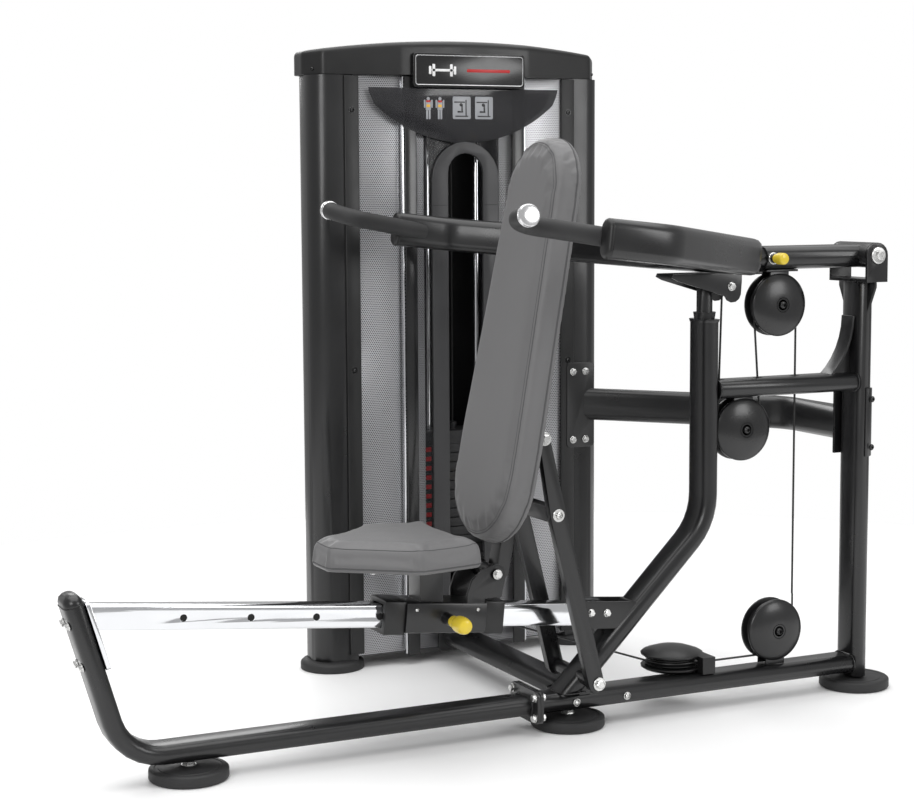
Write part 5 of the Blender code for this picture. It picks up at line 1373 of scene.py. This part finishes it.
@dataclass
class Tower:
    """The weight tower: columns, panels, cover, cap, sign, placard and the weights inside."""

    finishes: Finishes

    def build(self) -> None:
        """Builds and dresses the tower."""
        looks = self.finishes
        shell = ("tower_left_column", "tower_right_column", "rear_shroud", "tower_base", "tower_header")
        dress(shell, looks.coat, 0.0015)
        dress(("front_panel",), looks.silver, 0.0005)
        dress(("front_cover",), looks.smoked, 0.0012)
        dress(("slot_bezel",), looks.dark_plastic, 0.0022)
        dress(("sign_plate",), looks.gloss, 0.0015)
        dress(("guide_rod_left", "guide_rod_right"), looks.chrome, 0.0006)
        dress(("weight_stack", "lifted_weights"), looks.iron, 0.001)
        self.build_cap()
        self.build_strips()
        self.build_placard()
        self.build_sign()
        self.build_weight_edges()
        self.build_selector()
        self.build_seams()

    def build_cap(self) -> None:
        """The moulded cap with its gently arched top."""
        front = [(-0.407, 0.745), (-0.372, 0.694), (-0.300, 0.683), (-0.175, 0.664)]
        rear = [(0.407, 0.800), (0.350, 0.850), (0.240, 0.884)]
        corners = []
        for half in (front, rear):
            corners += half + [(-x, y) for x, y in reversed(half)]
        outline = even(softened(corners, 0.012, 5), 300)
        shares = [(0.0, 0.0012), (0.02, 0.0), (0.78, 0.0), (0.88, 0.0010)]
        shares += [(0.94, 0.0032), (0.98, 0.0075), (1.0, 0.0140)]
        rows = [[self.cap_point(x, y, share) for x, y in inset(outline, step)] for share, step in shares]
        rim = inset(outline, 0.0140)
        for share in (0.2, 0.5, 0.8, 1.0):
            rows.append([self.cap_point(x, y + (0.775 - y) * share, 1.0) for x, y in rim])
        cap = Piece("tower_cap_shell")
        cap.skin(rows, slice(0, 1))
        cap.finish(self.finishes.plastic, "frame", Slot.PLASTIC, ("tower_cap",))
        screws = Piece("cap_screws")
        for side in (-1, 1):
            seat = (MIDDLE + side * 0.3900, 0.7188, 1.500)
            screws.fastener(seat, (side * 0.82, -0.57, 0), 0.0090, Drive.SOCKET)
        screws.finish(self.finishes.gloss, "frame", Slot.PLASTIC)

    @staticmethod
    def cap_point(x: float, y: float, share: float) -> Vector:
        """A point of the cap, share of the way from its foot to its arched top."""
        low = 1.4861
        top = 1.5440 + 0.0280 * (1 - (x / 0.41) ** 2)
        return Vector((MIDDLE + x, y, low + (top - low) * share))

    def build_strips(self) -> None:
        """The black column strips with recessed screws, and the mullions beside the cover."""
        strips, wells, mullions = Piece("column_strips"), Piece("strip_screws"), Piece("cover_mullions")
        well = [(0.0085, 0), (0.0078, 0.0010), (0.0062, 0.0010), (0.0056, 0.0), (0, 0)]
        for side in (-1, 1):
            near, far = sorted((MIDDLE + side * 0.282, MIDDLE + side * 0.320))
            strips.block((near, 0.6840, 0.040), (far, 0.6925, 1.4840), 0.0016)
            middle = MIDDLE + side * 0.301
            for z in (1.400, 0.760, 0.120):
                wells.lathe(well, (middle, 0.6838, z), TOWARDS_USER_RIGHT, 40)
                wells.fastener((middle, 0.6836, z), TOWARDS_USER_RIGHT, 0.0095, Drive.SOCKET)
            near, far = sorted((MIDDLE + side * 0.1335, MIDDLE + side * 0.1660))
            mullions.block((near, 0.6690, 0.026), (far, 0.6755, 1.4840), 0.0018)
        strips.finish(self.finishes.plastic, "frame", Slot.PLASTIC)
        wells.finish(self.finishes.gloss, "frame", Slot.PLASTIC)
        mullions.finish(self.finishes.gloss, "frame", Slot.PLASTIC)
        edges = Piece("mullion_trims")
        for side in (-1, 1):
            near, far = sorted((MIDDLE + side * 0.1670, MIDDLE + side * 0.1720))
            edges.block((near, 0.6720, 0.030), (far, 0.6880, 1.4840), 0.0012)
        edges.finish(self.finishes.chrome, "frame", Slot.SILVER)

    def build_placard(self) -> None:
        """The curved placard above the slot, with plain figure tiles."""
        lower = arc((MIDDLE, 1.692), 0.371, -132.2, -47.8, 40)
        outline = [(x - MIDDLE, z - 1.40) for x, z in lower]
        outline += [(0.262, 0.049), (0.262, 0.0555), (-0.262, 0.0555), (-0.262, 0.049)]
        card = Piece("exercise_placard")
        card.slab(outline, 0.0022, upright((MIDDLE, 0.6708, 1.40)), 0.0004)
        card.finish(self.finishes.card, "frame", Slot.PLASTIC)
        tiles, figures, marks = Piece("placard_tiles"), Piece("placard_figures"), Piece("placard_marks")
        muscles = Piece("placard_muscles")
        face, ink = 0.6684, 0.6680
        rig = (
            (0.000, -0.021, 0.036, 0.003),
            (0.012, 0.000, 0.003, 0.040),
            (-0.004, -0.010, 0.016, 0.004),
            (-0.006, 0.014, 0.030, 0.003),
            (0.001, 0.000, 0.004, 0.018),
        )
        for x in (-0.010, 0.052):
            tiles.tile(rectangle(0.050, 0.056, 0.004, 5), (MIDDLE + x, face, 1.4080), 0.0004, 0.0001)
            for u, v, wide, tall in rig:
                at = (MIDDLE + x + u, ink, 1.4080 + v)
                figures.tile(rectangle(wide, tall, 0.0012, 3), at, 0.0003, 0.00005)
            figures.tile(circle(0.0042, 24), (MIDDLE + x - 0.002, ink, 1.4155), 0.0003, 0.00005)
        body = ((0.0, 0.004, 0.014, 0.024), (-0.010, 0.008, 0.004, 0.020), (0.010, 0.008, 0.004, 0.020))
        body += ((-0.0035, -0.019, 0.005, 0.022), (0.0035, -0.019, 0.005, 0.022))
        for x in (-0.102, -0.070):
            tiles.tile(circle(0.0044, 24), (MIDDLE + x, face, 1.4295), 0.0004, 0.0001)
            for u, v, wide, tall in body:
                at = (MIDDLE + x + u, face, 1.4090 + v)
                tiles.tile(rectangle(wide, tall, 0.0015, 3), at, 0.0004, 0.0001)
            marks.tile(rectangle(0.012, 0.005, 0.002, 3), (MIDDLE + x, ink, 1.4230), 0.0003, 0.00005)
            muscles.tile(rectangle(0.010, 0.007, 0.002, 3), (MIDDLE + x, ink, 1.4120), 0.0003, 0.00005)
        tiles.finish(self.finishes.pale, "frame", Slot.PLASTIC)
        figures.finish(self.finishes.coat, "frame", Slot.PLASTIC)
        marks.finish(self.finishes.red, "frame", Slot.PLASTIC)
        muscles.finish(self.finishes.amber, "frame", Slot.PLASTIC)

    def build_sign(self) -> None:
        """The sign plate's rim, a plain dumbbell symbol and a coloured bar."""
        x, y, z = MIDDLE + 0.006, 0.6535, 1.499
        rim = Piece("sign_rim")
        loop = [Vector((x + u, y - 0.0002, z + v)) for u, v in rectangle(0.296, 0.072, 0.007, 8)]
        rim.ring(loop, 0.0011, 8)
        rim.finish(self.finishes.aluminium, "frame", Slot.SILVER)
        icon = Piece("sign_symbol")
        blocks = [(0.0, 0.060, 0.0060)]
        for side in (-1, 1):
            blocks += [(side * 0.024, 0.0075, 0.030), (side * 0.034, 0.0065, 0.020)]
        for u, wide, tall in blocks:
            at = (x - 0.075 + u, y + 0.0001, z)
            icon.tile(rectangle(wide, tall, 0.0018, 4), at, 0.0006, 0.00015)
        icon.finish(self.finishes.white, "frame", Slot.PLASTIC)
        bars = Piece("sign_bar")
        bars.tile(rectangle(0.120, 0.0075, 0.0018, 4), (x + 0.052, y + 0.0001, z), 0.0006, 0.00015)
        bars.finish(self.finishes.red, "frame", Slot.PLASTIC)

    def build_weight_edges(self) -> None:
        """Rounded noses that part the stack into single plates, with their labels, and near-black strips
        painted as the shade in the gaps between plates.
        """
        stacks = (("resting", "frame", 0.222, 10), ("lifted", "lifted_stack", 0.462, 4))
        for name, body, low, count in stacks:
            noses, gap_shades, labels = (Piece(f"{name}_plate_{part}") for part in ("noses", "gap_shades", "labels"))
            for i in range(count):
                z = low + 0.024 * i
                low_corner = (MIDDLE - 0.1252, 0.7020, z + 0.0010)
                noses.block(low_corner, (MIDDLE + 0.1252, 0.7062, z + 0.0228), 0.0018)
                # painted shade: a near-black strip in the gap under each plate
                if name == "resting" or i:
                    low_corner = (MIDDLE - 0.1245, 0.7040, z - 0.0010)
                    gap_shades.block(low_corner, (MIDDLE + 0.1245, 0.7052, z + 0.0010), 0.0003)
                for side in (-1, 1):
                    place = upright((MIDDLE + side * 0.098, 0.7021, z + 0.0119))
                    labels.slab(rectangle(0.026, 0.0115, 0.0015, 3), 0.0003, place, 0.00008)
            noses.finish(self.finishes.iron, body, Slot.IRON)
            gap_shades.finish(self.finishes.shadow, body, Slot.IRON)
            labels.finish(self.finishes.red, body, Slot.IRON)

    def build_selector(self) -> None:
        """Builds the selector pin's knob and shank."""
        at = (MIDDLE, 0.705, 0.474)
        knob = Piece("selector_knob")
        profile = [
            (0, -0.0004), (0.0078, -0.0004), (0.0086, 0.0004), (0.0088, 0.0030), (0.0105, 0.0060),
            (0.0110, 0.0090), (0.0110, 0.0205), (0.0102, 0.0236), (0.0080, 0.0256), (0, 0.0260),
        ]
        knob.lathe(profile, at, TOWARDS_USER_RIGHT, 56)
        knob.finish(self.finishes.yellow, "selector", Slot.YELLOW, ("selector_pin",))
        shank = Piece("selector_shank")
        profile = [(0, 0.060), (0.0036, 0.059), (0.0045, 0.057), (0.0045, -0.001), (0, -0.001)]
        shank.lathe(profile, at, Y_AXIS, 32)
        shank.finish(self.finishes.chrome, "selector", Slot.CHROME)

    def build_seams(self) -> None:
        """The bezel's joint line, the foot rings and the shroud's screws."""
        seams = Piece("tower_seams")
        for side in (-1, 1):
            near, far = sorted((MIDDLE + side * 0.0500, MIDDLE + side * 0.0915))
            seams.block((near, 0.6664, 1.1655), (far, 0.6670, 1.1664), 0.0002)
        seams.finish(self.finishes.shadow, "frame", Slot.PLASTIC)
        rings = Piece("tower_foot_rings")
        for side in (-1, 1):
            profile = [
                (0, 0.0268), (0.066, 0.0250), (0.0740, 0.0225), (0.0795, 0.0175), (0.0806, 0.0150),
                (0.0806, 0.0005),
            ]
            rings.lathe([*profile, (0, 0.0005)], (MIDDLE + side * 0.346, 0.745, 0), (0, 0, 1), 96)
        rings.finish(self.finishes.foot, "frame", Slot.RUBBER)
        screws = Piece("shroud_screws")
        for side in (-1, 1):
            for z in (0.12, 0.52, 0.94, 1.38):
                seat = (MIDDLE + side * 0.2000, 0.8781, z)
                screws.fastener(seat, Y_AXIS, 0.0100, Drive.SOCKET, 0.0140)
        screws.finish(self.finishes.gloss, "frame", Slot.FRAME)


# ---------------------------------------------------------------- studio
@dataclass
class Studio:
    """A plain pale floor, soft lights and the camera."""

    lens: float = 77.6
    place: Matrix = field(
        default_factory=lambda: Matrix(
            (
                (0.9028, 0.0530, -0.4269, -2.0928),
                (-0.4301, 0.0983, -0.8975, -3.8248),
                (-0.0056, 0.9937, 0.1115, 1.2200),
                (0.0, 0.0, 0.0, 1.0),
            )
        )
    )

    def build(self) -> None:
        """Builds everything in the studio."""
        scene = bpy.context.scene
        scene.view_settings.view_transform = "Standard"
        scene.world = bpy.data.worlds.new("studio")
        scene.world.use_nodes = True
        sky = scene.world.node_tree
        background = sky.nodes["Background"]
        path = sky.nodes.new("ShaderNodeLightPath")
        mix = sky.nodes.new("ShaderNodeMix")
        mix.inputs[2].default_value = 0.50
        mix.inputs[3].default_value = 1.0
        sky.links.new(path.outputs["Is Camera Ray"], mix.inputs[0])
        sky.links.new(mix.outputs[0], background.inputs["Strength"])
        background.inputs["Color"].default_value = (1.0, 1.0, 1.0, 1.0)
        self.build_floor()
        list(self.build_lights())
        self.build_camera()

    def build_floor(self) -> bpy.types.Object:
        """A wide pale floor with a slight unevenness."""
        floor = Piece("studio_floor")
        floor.lathe([(0, 0), (2.9, 0), (2.9, -0.004), (0, -0.004)], (0, 0, -0.0005), (0, 0, 1), 96)
        mesh = bpy.data.meshes.new("studio_floor")
        bmesh.ops.recalc_face_normals(floor.bm, faces=floor.bm.faces)
        floor.bm.to_mesh(mesh)
        floor.bm.free()
        sketch = Sketch("pale_floor", (0.93, 0.93, 0.93), 0.6)
        sketch.wire("Roughness", sketch.spread(sketch.noise(2.0, 3.0), 0.45, 0.6))
        mesh.materials.append(sketch.material)
        made = bpy.data.objects.new("studio_floor", mesh)
        bpy.context.scene.collection.objects.link(made)
        return made

    def build_lights(self) -> list[bpy.types.Object]:
        """Large soft boxes overhead, in front and to both sides."""
        boxes = (
            ("overhead_box", (0.0, 0.4, 5.4), (0.0, 0.4, 0.5), 7.0, 330.0),
            ("front_box", (-3.4, -3.0, 2.6), (0.0, 0.2, 0.8), 1.8, 60.0),
            ("right_box", (2.4, -3.6, 2.2), (0.3, 0.2, 0.7), 1.6, 42.0),
            ("rear_box", (0.6, 4.6, 3.0), (0.0, 0.4, 0.9), 2.4, 50.0),
        )
        lights = []
        for name, at, target, size, power in boxes:
            lamp = bpy.data.lights.new(name, "AREA")
            lamp.size = size
            lamp.energy = power
            made = bpy.data.objects.new(name, lamp)
            bpy.context.scene.collection.objects.link(made)
            made.matrix_world = aimed(at, Vector(at) - Vector(target), (1, 0, 0))
            lights.append(made)
        return lights

    def build_camera(self) -> bpy.types.Object:
        """The camera."""
        camera = bpy.data.cameras.new("camera")
        camera.lens = self.lens
        camera.sensor_width = 36.0
        camera.sensor_fit = "HORIZONTAL"
        made = bpy.data.objects.new("camera", camera)
        made.matrix_world = self.place
        bpy.context.scene.collection.objects.link(made)
        bpy.context.scene.camera = made
        return made


def main() -> None:
    """Builds the machine's looks in order."""
    logging.basicConfig(level=logging.INFO, format="%(name)s %(message)s")
    finishes = Finishes.mixed()
    for assembly in (Chassis, CableRun, PressArm, SeatAndBack, Tower):
        LOG.info("building %s", assembly.__name__)
        assembly(finishes).build()
    Studio().build()


if __name__ == "__main__":
    main()
